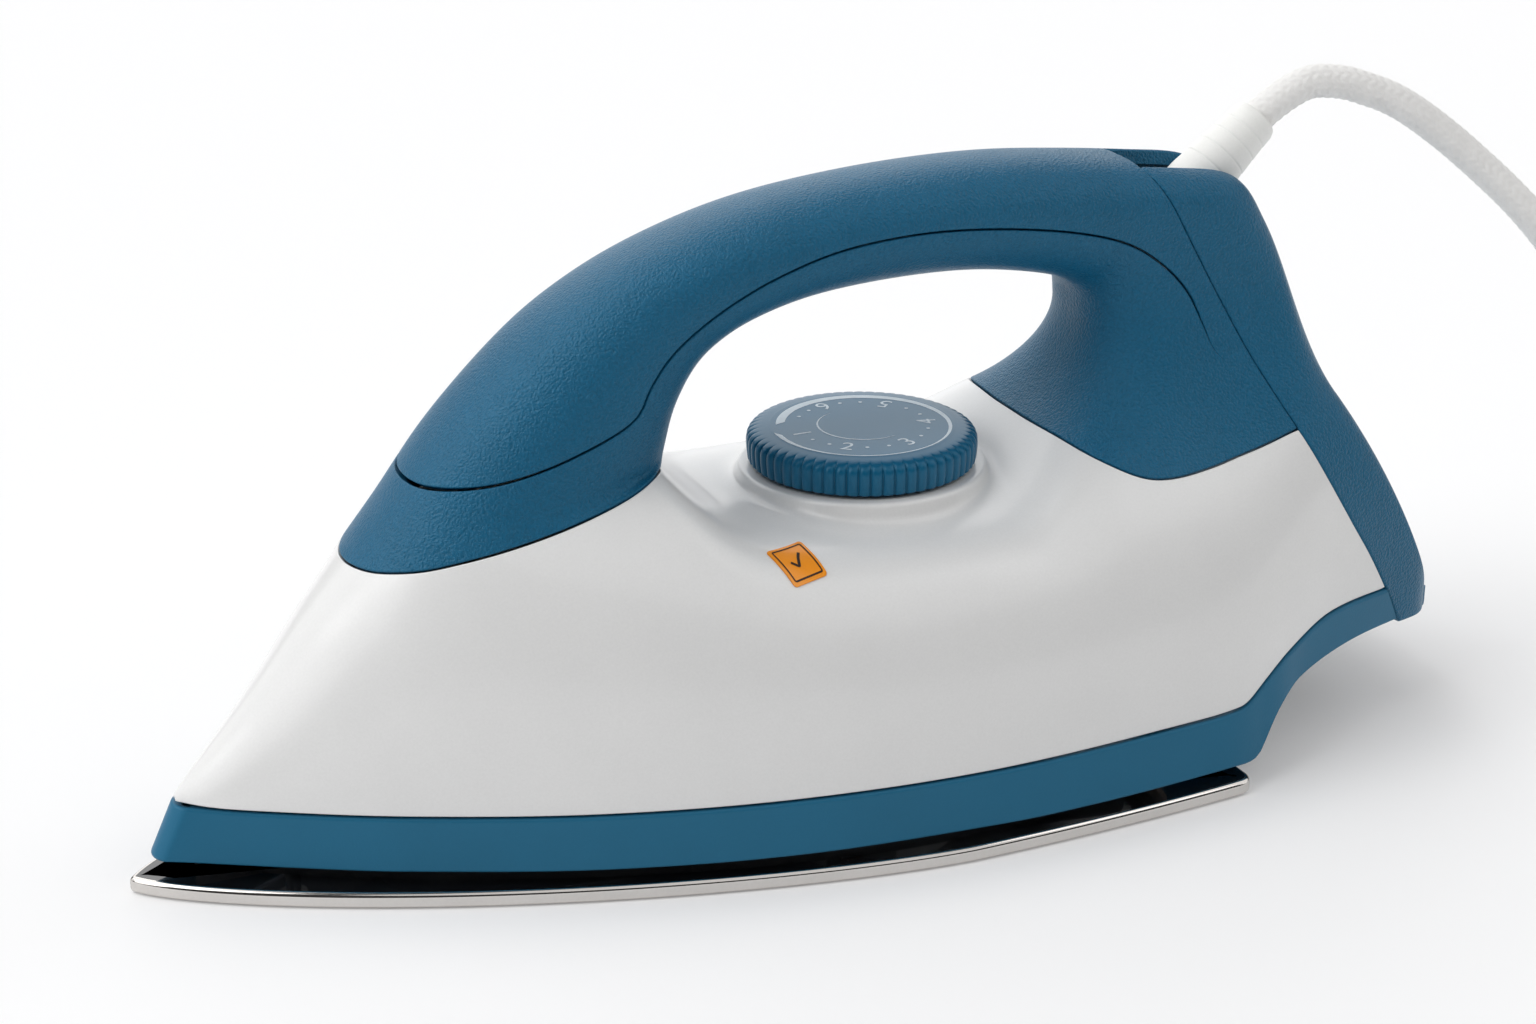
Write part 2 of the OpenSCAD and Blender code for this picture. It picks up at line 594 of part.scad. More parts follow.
// Pan-head screw standing on its tip, head at the top.
module pan_screw(r, l, head_r, head_h) {
    cylinder(r = r, h = l);
    difference() {
        translate([0, 0, l]) cylinder(r = head_r, h = head_h);
        for (a = [0, 90])
            rotate([0, 0, a]) translate([-head_r * 0.6, -0.4, l + head_h - 1]) cube([head_r * 1.2, 0.8, 2]);
    }
}
module skirt_screws() {
    color("silver")
        for (p = skirt_screw_places)
            translate([p.x, p.y, 5]) pan_screw(1.5, tab_z + 2.4 - 5, 2.8, 2);
}
module handle_screws() {
    color("silver")
        for (p = [[front_screw_x, front_tower_top], [rear_screw_x, rear_tower_top]])
            translate([p.x, 0, 11]) pan_screw(2, p.y - 11, 3.8, 2.6);
}
module cover_screw() {
    color("silver")
        translate([cover_screw_x, 0, cover_screw_z]) rotate([0, 90, 0]) pan_screw(1.5, 26, 2.9, 2);
}

// ---------- dial and thermostat ----------

dial_h = 7;
spindle_r = 3;
module dial() {
    color([0.11, 0.33, 0.47])
        translate([dial_x, 0, 0])
            difference() {
                rotate_extrude()
                    polygon([[spindle_r + 0.02, dial_z], [7, dial_z], [7, dial_z + 4], [dial_r - 3, dial_z + 4],
                        [dial_r - 3, dial_z], [dial_r - 0.8, dial_z], [dial_r, dial_z + 0.8],
                        [dial_r, dial_z + dial_h - 2], [dial_r - 1.2, dial_z + dial_h - 0.5],
                        [dial_r - 2.6, dial_z + dial_h],
                        [spindle_r + 0.02, dial_z + dial_h]]);
                for (i = [0:dial_ribs - 1])
                    rotate([0, 0, 360 * i / dial_ribs])
                        translate([dial_r + 0.15, 0, dial_z - 1])
                            cylinder(r = 0.75, h = dial_h - 0.6);
            }
}
spindle_low = 27;
module dial_spindle() {
    color("silver")
        translate([dial_x, 0, 0])
            difference() {
                translate([0, 0, spindle_low]) cylinder(r = spindle_r, h = dial_z + 6.4 - spindle_low);
                difference() {
                    translate([0, 0, 51.6]) cylinder(r = 5, h = 1);
                    translate([0, 0, 51.6]) cylinder(r = 2.4, h = 1);
                }
            }
}
module dial_clip() {
    color("dimgray")
        translate([dial_x, 0, 51.7])
            difference() {
                cylinder(r = 5.2, h = 0.8);
                translate([0, 0, -1]) cylinder(r = 2.42, h = 3);
                translate([0, -1.6, -1]) cube([8, 3.2, 3]);
            }
}
module spindle_bush() {
    color([0.85, 0.72, 0.4])
        translate([dial_x, 0, 0])
            difference() {
                union() {
                    translate([0, 0, 53]) cylinder(r = bush_r, h = boss_top - 53.2);
                    translate([0, 0, 61.9]) cylinder(r = 8, h = 2);
                }
                translate([0, 0, 50]) cylinder(r = spindle_r + running, h = 30);
            }
}

stack_x = 64;
bracket_z = 30;
bracket_t = 1.5;
module thermostat_bracket() {
    color([0.78, 0.78, 0.76])
        difference() {
            union() {
                translate([dial_x - 15, -6, cast_top]) cube([40, 12, 1.2]);
                for (y = [-7.5, 6]) {
                    translate([dial_x - 6, y, cast_top]) cube([12, bracket_t, bracket_z - cast_top]);
                }
                translate([dial_x - 6, -7.5, bracket_z]) cube([12, 15, bracket_t]);
            }
            translate([dial_x, 0, bracket_z - 1]) cylinder(r = spindle_r + running, h = 4);
            translate([stack_x, 0, cast_top - 1]) cylinder(r = 1.55, h = 4);
        }
}
module stack_hole() {
    translate([stack_x, 0, 0]) cylinder(r = 1.55, h = 60);
}
module thermostat_bimetal() {
    color([0.75, 0.6, 0.4])
        difference() {
            translate([dial_x - 8, -4, 13]) cube([stack_x - dial_x + 13, 8, 0.8]);
            stack_hole();
        }
}
module thermostat_contacts() {
    color([0.8, 0.5, 0.3])
        for (z = [17.2, 21.2])
            difference() {
                union() {
                    translate([dial_x - 6, -3, z]) cube([stack_x - dial_x + 18, 6, 0.5]);
                    translate([dial_x - 3, 0, z == 17.2 ? z + 0.5 : z - 1.5]) cylinder(r = 2, h = 1.5);
                }
                stack_hole();
            }
}
module thermostat_insulators() {
    color([0.93, 0.91, 0.86]) {
        for (span = [[9.2, 13], [13.8, 17.2], [17.7, 21.2], [21.7, 24.5]])
            difference() {
                translate([stack_x, 0, span[0]]) cylinder(r = 4.2, h = span[1] - span[0]);
                stack_hole();
            }
        translate([dial_x, 0, 21.7]) cylinder(r = 2, h = spindle_low - 21.7);
    }
}
module thermostat_screw() {
    color("silver")
        translate([stack_x, 0, cast_top]) pan_screw(1.5, 24.5 - cast_top, 3, 2);
}

// ---------- wiring ----------

fuse_z = 11.5;
module thermal_fuse() {
    color([0.85, 0.83, 0.75])
        translate([-24, 0, fuse_z]) rotate([0, 90, 0]) cylinder(r = 2.6, h = 26);
}
block_x = 118;
block_z = 56;
terminal_y = [-10, 0, 10];
module terminal_block() {
    color([0.9, 0.88, 0.8])
        difference() {
            translate([block_x, -15, block_z]) cube([10, 30, 12]);
            for (y = terminal_y) {
                translate([block_x + 5, y, block_z - 1]) cylinder(r = 1.9, h = 14);
                translate([block_x + 5, y, block_z + 6]) rotate([0, 90, 0]) cylinder(r = 1.6, h = 9);
            }
        }
}
module terminal_screws() {
    color("silver")
        for (y = terminal_y)
            translate([block_x + 6.8, y, block_z + 6]) rotate([0, 90, 0]) cylinder(r = 1.5, h = 3.6);
}
wire_r = 1.2;
riser_end = [leg_end.x + elbow_r * cos(leg_angle), leg_end.y + elbow_r * sin(leg_angle), riser_top + 14];
module wire(keys) {
    tube(smooth_path(keys, 3), wire_r, 6);
}
module live_wire() {
    color([0.5, 0.3, 0.2])
        wire([[block_x + 5, -10, block_z + 0.5], [block_x + 4, -12, 46], [112, -20, 34], [84, -19, 30],
            [58, -19, 28.6], [40, -14, 26], [28, -8, 19], [14, -1.5, fuse_z + 1], [2.8, 0, fuse_z]]);
}
module neutral_wire() {
    color([0.25, 0.4, 0.7])
        wire([[block_x + 5, 0, block_z + 0.5], [block_x + 5.4, 4, 50.5], [block_x + 1, 17, 47.5], [108, 30, 49],
            riser_end + [1.5, -1, 6], riser_end + [0, 0, 1]]);
}
module earth_wire() {
    color([0.5, 0.65, 0.2])
        wire([[block_x + 5, 10, block_z + 0.5], [block_x + 8.5, 10.5, 49], [block_x + 5, 12, 41], [104, 14, 34],
            [86, 14, 30], [76, 12.5, 23], [74, 10, cast_top + 1.4]]);
}
module switched_wire() {
    color([0.35, 0.3, 0.3])
        wire([[riser_end.x, -riser_end.y, riser_end.z + 1], [riser_end.x - 0.6, -riser_end.y + 1, riser_end.z + 5],
            [97, -25, 44], [84.5, -7, 31], [79, -1, 24], [77.6, 0, 21.4]]);
}

// ---------- cord, guard and plug ----------

pivot = [116.7, 0, 111.6];
trunnion_r = 2.5;
guard_base_r = 6.6;
guard_tip_r = 4.8;
guard_l = 27;
cord_bore = cord_r + 0.25;
clamp_z = 84;

module on_guard() {
    translate(pivot) rotate([0, 90 - guard_lean, 0]) children();
}
module cord_guard() {
    color([0.93, 0.93, 0.91])
        on_guard()
            difference() {
                union() {
                    rotate_extrude()
                        polygon([[0, -6], [4.6, -6], [guard_base_r, -3.5], [guard_base_r, 8.4],
                            [guard_tip_r + 0.3, guard_l], [guard_tip_r - 0.3, guard_l + 0.8], [0, guard_l + 0.8]]);
                    rotate([90, 0, 0]) cylinder(r = trunnion_r, h = 21, center = true);
                }
                translate([0, 0, -10]) cylinder(r = cord_bore, h = guard_l + 20);
                translate([0, 0, -6.5]) cylinder(r1 = cord_bore + 2.6, r2 = cord_bore, h = 6);
                for (z = [12.5, 16.5, 20.5, 24])
                    translate([0, 0, z])
                        difference() {
                            cylinder(r = 9, h = 0.5);
                            translate([0, 0, -1]) cylinder(r = guard_base_r - 0.35 - (z - 8.4) * 0.081, h = 3);
                        }
            }
}
module guard_bearings() {
    color([0.85, 0.85, 0.83])
        for (side = [-1, 1])
            difference() {
                translate([pivot.x - 4.5, side * 10.2 - 2.9, pivot.z - 5]) cube([9, 5.8, 9.4]);
                translate(pivot) rotate([90, 0, 0]) cylinder(r = trunnion_r + running, h = 24, center = true);
            }
}
cord_inner = [[pivot.x - 1.5, 0, clamp_z - 6], [pivot.x - 1.5, 0, clamp_z + 1], [pivot.x - 2.5, 0, clamp_z + 9],
    [pivot.x - 4, 0, clamp_z + 17], [pivot.x - 3.2, 0, clamp_z + 23.3]];
cord_keys = concat(cord_inner, [pivot, [127.2, 0, 120.9], [137.7, 0, 130.2], [147.5, -0.5, 135.9],
    [154.5, -1.2, 136.3], [161.5, -2.4, 134.6], [172, -4.6, 129.8], [186.5, -8, 118.7], [202, -14, 103],
    [216, -19, 83], [226, -24, 61], [232, -30, 40], [235, -37, 26], [235.9, -44.5, 20.2], [236, -50.5, 18.5],
    [236, -57.5, 18.4]]);
module cord() {
    color([0.93, 0.92, 0.91])
        tube(smooth_path(cord_keys, 3), cord_r, 12);
}
plug_x = 236;
plug_z = 18.4;
plug_start = -50;
plug_front = -101;
module plug_body() {
    color([0.93, 0.93, 0.91])
        translate([plug_x, plug_start, plug_z])
            rotate([90, 0, 0])
                difference() {
                    rotate_extrude()
                        polygon([[0, 0], [5, 0], [6.4, 20], [11.5, 27], [17, 31], [18.2, 34], [18.2, 49],
                            [17.4, 51], [0, 51]]);
                    translate([0, 0, -1]) cylinder(r = cord_bore, h = 9);
                    for (side = [-1, 1]) {
                        translate([side * 9.5, 0, 41]) cylinder(r = 2.1 + 0.02, h = 20);
                        translate([-3, side * 18.2 - 2.2, 30]) cube([6, 4.4, 30]);
                    }
                }
}
module plug_pins() {
    color("silver")
        for (side = [-1, 1])
            translate([plug_x + side * 9.5, plug_front + 9, plug_z])
                rotate([90, 0, 0]) {
                    cylinder(r = 2.1, h = 9.4);
                    translate([0, 0, 9.3]) cylinder(r = 2.4, h = 17.2);
                    translate([0, 0, 26.5]) cylinder(r1 = 2.4, r2 = 1.4, h = 1.5);
                }
}
module cord_clamp() {
    color([0.85, 0.83, 0.78])
        difference() {
            translate([pivot.x - 1.5 + cord_r + 0.35, -10, clamp_z - 3.5]) cube([4, 20, 7]);
            for (side = [-1, 1])
                translate([100, side * 7, clamp_z]) rotate([0, 90, 0]) cylinder(r = 1.5 + loose, h = 40);
        }
}
module clamp_screws() {
    color("silver")
        for (side = [-1, 1])
            translate([pivot.x - 8, side * 7, clamp_z]) rotate([0, 90, 0])
                pan_screw(1.5, cord_r + 0.35 + 4 + 6.5, 2.6, 1.8);
}

// ---------- label ----------

label_at = [15.3, -34, 61.3];
label_side = 10;
module inspection_label() {
    color("orange")
        resize([0, 0, 0])
            intersection() {
                difference() {
                    body_form(-0.3);
                    body_form(-0.05);
                }
                translate(label_at) rotate([24, 0, 0]) rotate([0, 0, 20])
                    cube([label_side, label_side, 12], center = true);
            }
}

sole_plate();
sole_casting();
heating_element();
element_terminals();
heat_shield();
base_skirt();
skirt_screws();
body_shell();
handle_base();
grip_cover();
rear_cover();
cover_screw();
handle_screws();
inspection_label();
dial();
dial_spindle();
dial_clip();
spindle_bush();
thermostat_bracket();
thermostat_bimetal();
thermostat_contacts();
thermostat_insulators();
thermostat_screw();
thermal_fuse();
terminal_block();
terminal_screws();
live_wire();
neutral_wire();
earth_wire();
switched_wire();
cord_clamp();
clamp_screws();
guard_bearings();
cord_guard();
cord();
plug_body();
plug_pins();
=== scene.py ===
"""Looks of the electric iron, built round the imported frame.

Lengths are in millimetres until a mesh is made from them.
"""
import json
import math

import bpy
import numpy as np
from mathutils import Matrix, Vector


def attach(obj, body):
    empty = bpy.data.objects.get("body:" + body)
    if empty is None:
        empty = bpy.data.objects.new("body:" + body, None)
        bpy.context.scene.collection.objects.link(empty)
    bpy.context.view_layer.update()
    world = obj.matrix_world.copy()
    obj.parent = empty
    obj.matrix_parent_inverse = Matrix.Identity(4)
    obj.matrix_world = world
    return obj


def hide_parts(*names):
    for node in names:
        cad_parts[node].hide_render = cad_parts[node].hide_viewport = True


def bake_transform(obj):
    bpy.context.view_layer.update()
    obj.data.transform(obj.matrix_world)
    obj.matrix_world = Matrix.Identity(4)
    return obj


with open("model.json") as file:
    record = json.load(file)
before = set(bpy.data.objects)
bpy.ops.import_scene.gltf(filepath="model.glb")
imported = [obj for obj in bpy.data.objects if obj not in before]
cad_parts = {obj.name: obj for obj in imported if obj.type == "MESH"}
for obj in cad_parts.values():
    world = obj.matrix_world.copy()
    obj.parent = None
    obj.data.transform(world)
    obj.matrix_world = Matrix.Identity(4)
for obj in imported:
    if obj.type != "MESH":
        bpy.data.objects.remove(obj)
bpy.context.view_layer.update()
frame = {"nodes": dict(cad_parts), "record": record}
MM = 0.001

# ---------------------------------------------------------------- curves


def curve(rows, x):
    """Smooth curve through rows of (position, value); a value may be a tuple."""
    pos = np.array([r[0] for r in rows], float)
    val = np.array([r[1] for r in rows], float)
    flat = val.ndim == 1
    if flat:
        val = val[:, None]
    last = len(pos) - 1
    a = np.maximum(np.arange(last + 1) - 1, 0)
    b = np.minimum(np.arange(last + 1) + 1, last)
    slope = (val[b] - val[a]) / (pos[b] - pos[a])[:, None]
    x = np.asarray(x, float)
    i = np.clip(np.searchsorted(pos, x, side="right") - 1, 0, last - 1)
    h = (pos[i + 1] - pos[i])[..., None]
    u = np.clip((x - pos[i])[..., None] / h, 0, 1)
    out = ((2 * u**3 - 3 * u**2 + 1) * val[i] + (u**3 - 2 * u**2 + u) * h * slope[i]
           + (3 * u**2 - 2 * u**3) * val[i + 1] + (u**3 - u**2) * h * slope[i + 1])
    return out[..., 0] if flat else out


def through(points, count):
    """Points of a smooth curve through the given ones."""
    return curve(list(enumerate(points)), np.linspace(0, len(points) - 1, count))


def smoothed(rows, step, blur):
    """The same curve as a dense table, softened over blur."""
    low, high = rows[0][0], rows[-1][0]
    n = max(int(round((high - low) / step)), 4)
    xs = np.linspace(low, high, n + 1)
    vals = curve(rows, xs)
    flat = vals.ndim == 1
    if flat:
        vals = vals[:, None]
    reach = int(math.ceil(3 * blur / step))
    kernel = np.exp(-0.5 * (np.arange(-reach, reach + 1) * step / blur) ** 2)
    kernel /= kernel.sum()
    head = 2 * vals[0] - vals[reach:0:-1]
    tail = 2 * vals[-1] - vals[-2:-reach - 2:-1]
    padded = np.concatenate([head, vals, tail])
    soft = np.stack([np.convolve(padded[:, k], kernel, "valid") for k in range(vals.shape[1])], 1)

    def at(x):
        x = np.asarray(x, float)
        out = np.stack([np.interp(x, xs, soft[:, k]) for k in range(soft.shape[1])], -1)
        return out[..., 0] if flat else out
    return at


def signed_pow(v, p):
    return np.sign(v) * np.abs(v) ** p


def unit(v):
    return v / np.maximum(np.linalg.norm(v, axis=-1, keepdims=True), 1e-12)


# ---------------------------------------------------------------- meshes


def grid_faces(rows, cols, closed):
    r = np.arange(rows - 1)[:, None]
    c = np.arange(cols if closed else cols - 1)[None, :]
    a, b = r * cols + c, r * cols + (c + 1) % cols
    d, e = a + cols, b + cols
    return np.stack([a, b, e, a, e, d], -1).reshape(-1, 3)


def grid_normals(points, closed):
    along = np.gradient(points, axis=0)
    if closed:
        across = np.roll(points, -1, 1) - np.roll(points, 1, 1)
    else:
        across = np.gradient(points, axis=1)
    return unit(np.cross(along, across))


def surface(points, closed, middle=None):
    """Shell of a grid whose normals point away from each row's middle, or from the given middle."""
    normals = grid_normals(points, closed)
    away = points - (points.mean(1, keepdims=True) if middle is None else middle)
    return shell(points, -normals if (normals * away).sum() < 0 else normals, closed)


def facing(verts, faces):
    """The same triangles, wound so that they look the way their corners' normals point."""
    a, b, c = verts[faces[:, 0]], verts[faces[:, 1]], verts[faces[:, 2]]
    look_way = np.cross(b[:, :3] - a[:, :3], c[:, :3] - a[:, :3])
    return faces[:, ::-1] if (look_way * a[:, 3:]).sum() < 0 else faces


def shell(points, normals, closed):
    """Vertices with the given normals, and triangles, of a grid of points."""
    verts = np.concatenate([points.reshape(-1, 3), normals.reshape(-1, 3)], 1)
    return verts, facing(verts, grid_faces(points.shape[0], points.shape[1], closed))


def used_only(verts, faces):
    used = np.unique(faces)
    new = np.full(len(verts), -1)
    new[used] = np.arange(len(used))
    return verts[used], new[faces]


def clip(verts, faces, g):
    """Keeps the part of a triangle mesh where g is positive, cutting triangles along g = 0."""
    g = np.where(np.abs(g) < 1e-5, 1e-5, g)
    inside = g > 0
    count = inside[faces].sum(1)
    part = faces[(count == 1) | (count == 2)]
    k = inside[part].sum(1)
    odd = np.where(k == 1, np.argmax(inside[part], 1), np.argmin(inside[part], 1))
    part = part[np.arange(len(part))[:, None], (odd[:, None] + np.arange(3)) % 3]
    edges = np.concatenate([part[:, [0, 1]], part[:, [0, 2]]])
    edges = np.sort(edges, 1)
    pairs, back = np.unique(edges, axis=0, return_inverse=True)
    back = back.ravel()
    ga, gb = g[pairs[:, 0]], g[pairs[:, 1]]
    t = (ga / (ga - gb))[:, None]
    fresh = verts[pairs[:, 0]] * (1 - t) + verts[pairs[:, 1]] * t
    fresh[:, 3:] = unit(fresh[:, 3:])
    p = len(verts) + back[:len(part)]
    q = len(verts) + back[len(part):]
    one, two = k == 1, k == 2
    out = np.concatenate([
        faces[count == 3],
        np.stack([part[one, 0], p[one], q[one]], 1),
        np.stack([p[two], part[two, 1], part[two, 2]], 1),
        np.stack([p[two], part[two, 2], q[two]], 1)])
    return used_only(np.concatenate([verts, fresh]), out)


def weld(verts, faces, size=0.004):
    """Merges vertices that lie on one another."""
    key = np.round(verts[:, :3] / size).astype(np.int64)
    _, first, back = np.unique(key, axis=0, return_index=True, return_inverse=True)
    faces = back.ravel()[faces]
    good = (faces[:, 0] != faces[:, 1]) & (faces[:, 1] != faces[:, 2]) & (faces[:, 0] != faces[:, 2])
    return verts[first], faces[good]


def loops(faces):
    """Open edges of a mesh as rings of vertex numbers."""
    e = faces[:, [0, 1, 1, 2, 2, 0]].reshape(-1, 2)
    big = int(faces.max()) + 1
    key = e.min(1) * big + e.max(1)
    _, first, count = np.unique(key, return_index=True, return_counts=True)
    follow = {}
    for a, b in e[first[count == 1]]:
        follow.setdefault(int(a), []).append(int(b))
    rings = []
    while follow:
        start = next(iter(follow))
        ring, at = [start], start
        while at in follow:
            nxt = follow[at].pop()
            if not follow[at]:
                del follow[at]
            if nxt == start:
                break
            ring.append(nxt)
            at = nxt
        if len(ring) > 5:
            rings.append(np.array(ring))
    return rings


def ring_blur(v, reach):
    return sum(np.roll(v, s, 0) for s in range(-reach, reach + 1)) / (2 * reach + 1)


def lip(verts, faces, radius, depth, wanted=lambda ring: True, steps=4):
    """Rounds the open edges of a shell over and turns them inwards."""
    new_v, new_f, base = [verts], [faces], len(verts)
    for ring in loops(faces):
        p, n = verts[ring, :3], unit(verts[ring, 3:])
        if not wanted(p):
            continue
        tangent = ring_blur(np.roll(p, -1, 0) - np.roll(p, 1, 0), 3)
        m = unit(np.cross(unit(tangent), n))
        m = unit(ring_blur(m, 3))
        prev = ring
        rows = [(math.sin(a) * radius, (1 - math.cos(a)) * radius, math.cos(a), math.sin(a))
                for a in [math.pi / 2 * k / steps for k in range(1, steps + 1)]]
        rows.append((radius, radius + depth, 0.0, 1.0))
        for out, down, cn, cm in rows:
            ids = base + np.arange(len(ring))
            new_v.append(np.concatenate([p + out * m - down * n, unit(cn * n + cm * m)], 1))
            a, b = prev, np.roll(prev, -1)
            c, d = ids, np.roll(ids, -1)
            new_f.append(np.stack([a, d, b], 1))
            new_f.append(np.stack([a, c, d], 1))
            prev = ids
            base += len(ring)
    return np.concatenate(new_v), np.concatenate(new_f)


def add_mesh(name, verts, faces, normals=True):
    mesh = bpy.data.meshes.new(name)
    rows = faces.tolist() if isinstance(faces, np.ndarray) else faces
    mesh.from_pydata((verts[:, :3] * MM).tolist(), [], rows)
    mesh.validate()
    mesh.polygons.foreach_set("use_smooth", [True] * len(mesh.polygons))
    if normals and verts.shape[1] == 6 and len(mesh.vertices) == len(verts):
        mesh.normals_split_custom_set_from_vertices(unit(verts[:, 3:]).tolist())
    mesh.update()
    ob = bpy.data.objects.new(name, mesh)
    bpy.context.scene.collection.objects.link(ob)
    return ob


def join(parts):
    """One mesh from several (vertices, faces)."""
    verts, faces, base = [], [], 0
    for v, f in parts:
        verts.append(v)
        faces.append(f + base)
        base += len(v)
    return np.concatenate(verts), np.concatenate(faces)


def line_distance(points, line, closed=False):
    """Distance of points to a polyline, and the number of the nearest stretch."""
    a = line
    b = np.roll(line, -1, 0) if closed else line[1:]
    a = a if closed else line[:-1]
    d = b - a
    len2 = np.maximum((d * d).sum(1), 1e-12)
    best = np.full(len(points), 1e9)
    which = np.zeros(len(points), int)
    for s in range(0, len(points), 4000):
        p = points[s:s + 4000]
        u = np.clip(((p[:, None, :] - a) * d).sum(2) / len2, 0, 1)
        gap = np.linalg.norm(p[:, None, :] - a - u[..., None] * d, axis=2)
        which[s:s + 4000] = gap.argmin(1)
        best[s:s + 4000] = gap.min(1)
    return best, which


def inside_loop(xy, loop):
    """True for points of the plan inside a closed outline."""
    a, b = loop, np.roll(loop, -1, 0)
    y = xy[:, None, 1]
    cross = (a[:, 1] > y) != (b[:, 1] > y)
    with np.errstate(divide="ignore", invalid="ignore"):
        at = a[:, 0] + (y - a[:, 1]) * (b[:, 0] - a[:, 0]) / (b[:, 1] - a[:, 1])
    return ((cross & (xy[:, None, 0] < at)).sum(1) % 2) == 1


# ---------------------------------------------------------------- form of the housing

SKIRT_TOP = 18.0
NOSE, HEEL = -102.4, 172.4
SKIN_BELOW = 9.0       # depth of the housing's wall drawn below the skirt's seam
GAP = 0.2              # half the width of a seam
EDGE = 0.3             # rounding of an edge at a seam
FOLD = 2.0             # depth to which an edge at a seam turns inwards

half_width = smoothed([
    (NOSE, 1.2), (-98.7, 5.3), (-90.3, 11), (-64.5, 25.1), (-29, 39.9), (9, 49.6), (51, 53.6),
    (99, 50.4), (112, 48), (126, 42.5), (140, 37), (157, 32.2), (166, 29.8), (171, 27.4),
    (HEEL, 24.5)], 0.5, 2.2)
seam_height = smoothed([
    (NOSE, SKIRT_TOP), (98, SKIRT_TOP), (108, SKIRT_TOP), (112, 18.3), (117, 21.4), (126, 26.2),
    (138, 30.2), (157, 31), (HEEL, 31)], 0.25, 0.9)
wall_top = smoothed([
    (NOSE, 19.5), (-86.3, 37.9), (-75.3, 52.5), (-66.9, 62.2), (-59, 72.4), (-48, 80.5),
    (-30, 82.5), (0, 81), (30, 79), (100, 78), (120, 81), (140, 90), (HEEL, 94)], 0.5, 3)
deck_top = smoothed([
    (NOSE, 130), (-20, 110), (-8, 86), (2, 71.4), (12, 65), (24, 63.6), (60, 63.6), (69, 66),
    (78, 75.6), (84, 83.6), (91, 97), (104, 122), (118, 130), (127, 118.5), (149, 70.6),
    (HEEL, 25.6)], 0.25, 1.8)
roundness = smoothed([
    (NOSE, 1.5), (-86, 1.75), (-66, 2.05), (-35, 2.2), (0, 2.3), (60, 2.3), (110, 2.35), (140, 2.5),
    (150, 2.75), (158, 3.3), (HEEL, 5)], 0.5, 3)
shoulder = smoothed([
    (NOSE, 3.2), (-20, 3.2), (0, 6), (62, 6.5), (80, 8), (96, 4), (110, 3.2), (138, 7), (155, 6),
    (HEEL, 3)], 0.5, 3)


def level(x, z, lid):
    s = shoulder(x)
    return np.minimum(z, lid) - s * np.log1p(np.exp(-np.abs(z - lid) / s))


def body_top(x, y):
    z0, n = seam_height(x), roundness(x)
    h = wall_top(x) - z0
    q = np.maximum(1 - (np.abs(y) / half_width(x)) ** n, 0)
    return level(x, z0 + h * q ** (1 / n), deck_top(x))


def body_slope(x, y, s=0.05):
    along = (body_top(x + s, y) - body_top(x - s, y)) / (2 * s)
    across = (body_top(x, y + s) - body_top(x, y - s)) / (2 * s)
    return along, across


BODY_SIDE = 64


def body_rows(xs, low_rows=8):
    """Rings of the housing's outer form: up one side, over the crown and down the other."""
    a = np.linspace(0, 90, BODY_SIDE + 1) * math.pi / 180
    rings = []
    for x in xs:
        z0, n, w = seam_height(x), roundness(x), half_width(x)
        h = max(wall_top(x) - z0, 0.6)
        y = w * signed_pow(np.cos(a), 2 / n)
        z = z0 + h * signed_pow(np.sin(a), 2 / n)
        y[-1] = 0
        below = z0 - np.linspace(SKIN_BELOW, 0, low_rows, endpoint=False)
        y = np.concatenate([np.full(low_rows, w), y])
        z = np.concatenate([below, z])
        z = level(np.full(len(z), x), z, np.full(len(z), deck_top(x)))
        half = np.stack([np.full(len(y), x), y, z], 1)
        rings.append(np.concatenate([half, half[-2::-1] * [1, -1, 1]]))
    return np.array(rings)


def stations(*spans):
    return np.unique(np.concatenate([np.linspace(a, b, n) for a, b, n in spans]).round(6))


body_x = stations((NOSE, -98, 12), (-98, -80, 20), (-80, -16, 58), (-16, 16, 45), (16, 60, 34),
    (60, 96, 46), (96, 110, 14), (110, 120, 22), (120, 160, 44), (160, HEEL, 24))

# ---------------------------------------------------------------- form of the handle

handle_at = smoothed([
    (1, (-57.2, 73.8, -0.4, 79.4, 22.4, 2.15, 2.15)), (2, (-47.7, 86, 1.9, 87.9, 20.9, 2.2, 2.2)),
    (3, (-33, 100.9, 6.6, 95.6, 18.9, 2.2, 2.2)), (4, (-20.5, 110.2, 12.4, 100, 17.4, 2.25, 2.25)),
    (5, (-4.4, 118.2, 20, 103.1, 16.4, 2.3, 2.3)), (6, (18.2, 125, 31.6, 105.6, 15.9, 2.3, 2.3)),
    (7, (45.3, 128.3, 47.9, 106.7, 15.7, 2.3, 2.3)), (8, (71.7, 128.9, 64, 106.4, 15.7, 2.3, 2.3)),
    (9, (92.8, 127, 77.4, 104.6, 15.8, 2.5, 2.35)), (10, (111.6, 124.2, 88, 102, 16, 3.2, 2.5)),
    (11, (127.2, 120.8, 92.4, 98.8, 16.2, 4.5, 2.8)), (12, (133.8, 111, 93.2, 93.6, 17, 5, 2.8))
], 0.02, 0.22)
SIDES = 160
turn = np.arange(SIDES) * 2 * math.pi / SIDES


def handle_ring(t):
    k = handle_at(t)
    top, low = k[:2], k[2:4]
    middle, half = (top + low) / 2, (top - low) / 2
    a = np.linalg.norm(half)
    d = half / a
    power = np.where(np.cos(turn) > 0, 2 / k[5], 2 / k[6])
    u = a * signed_pow(np.cos(turn), power)
    v = k[4] * signed_pow(np.sin(turn), power)
    return np.stack([middle[0] + d[0] * u, v, middle[1] + d[1] * u], 1)


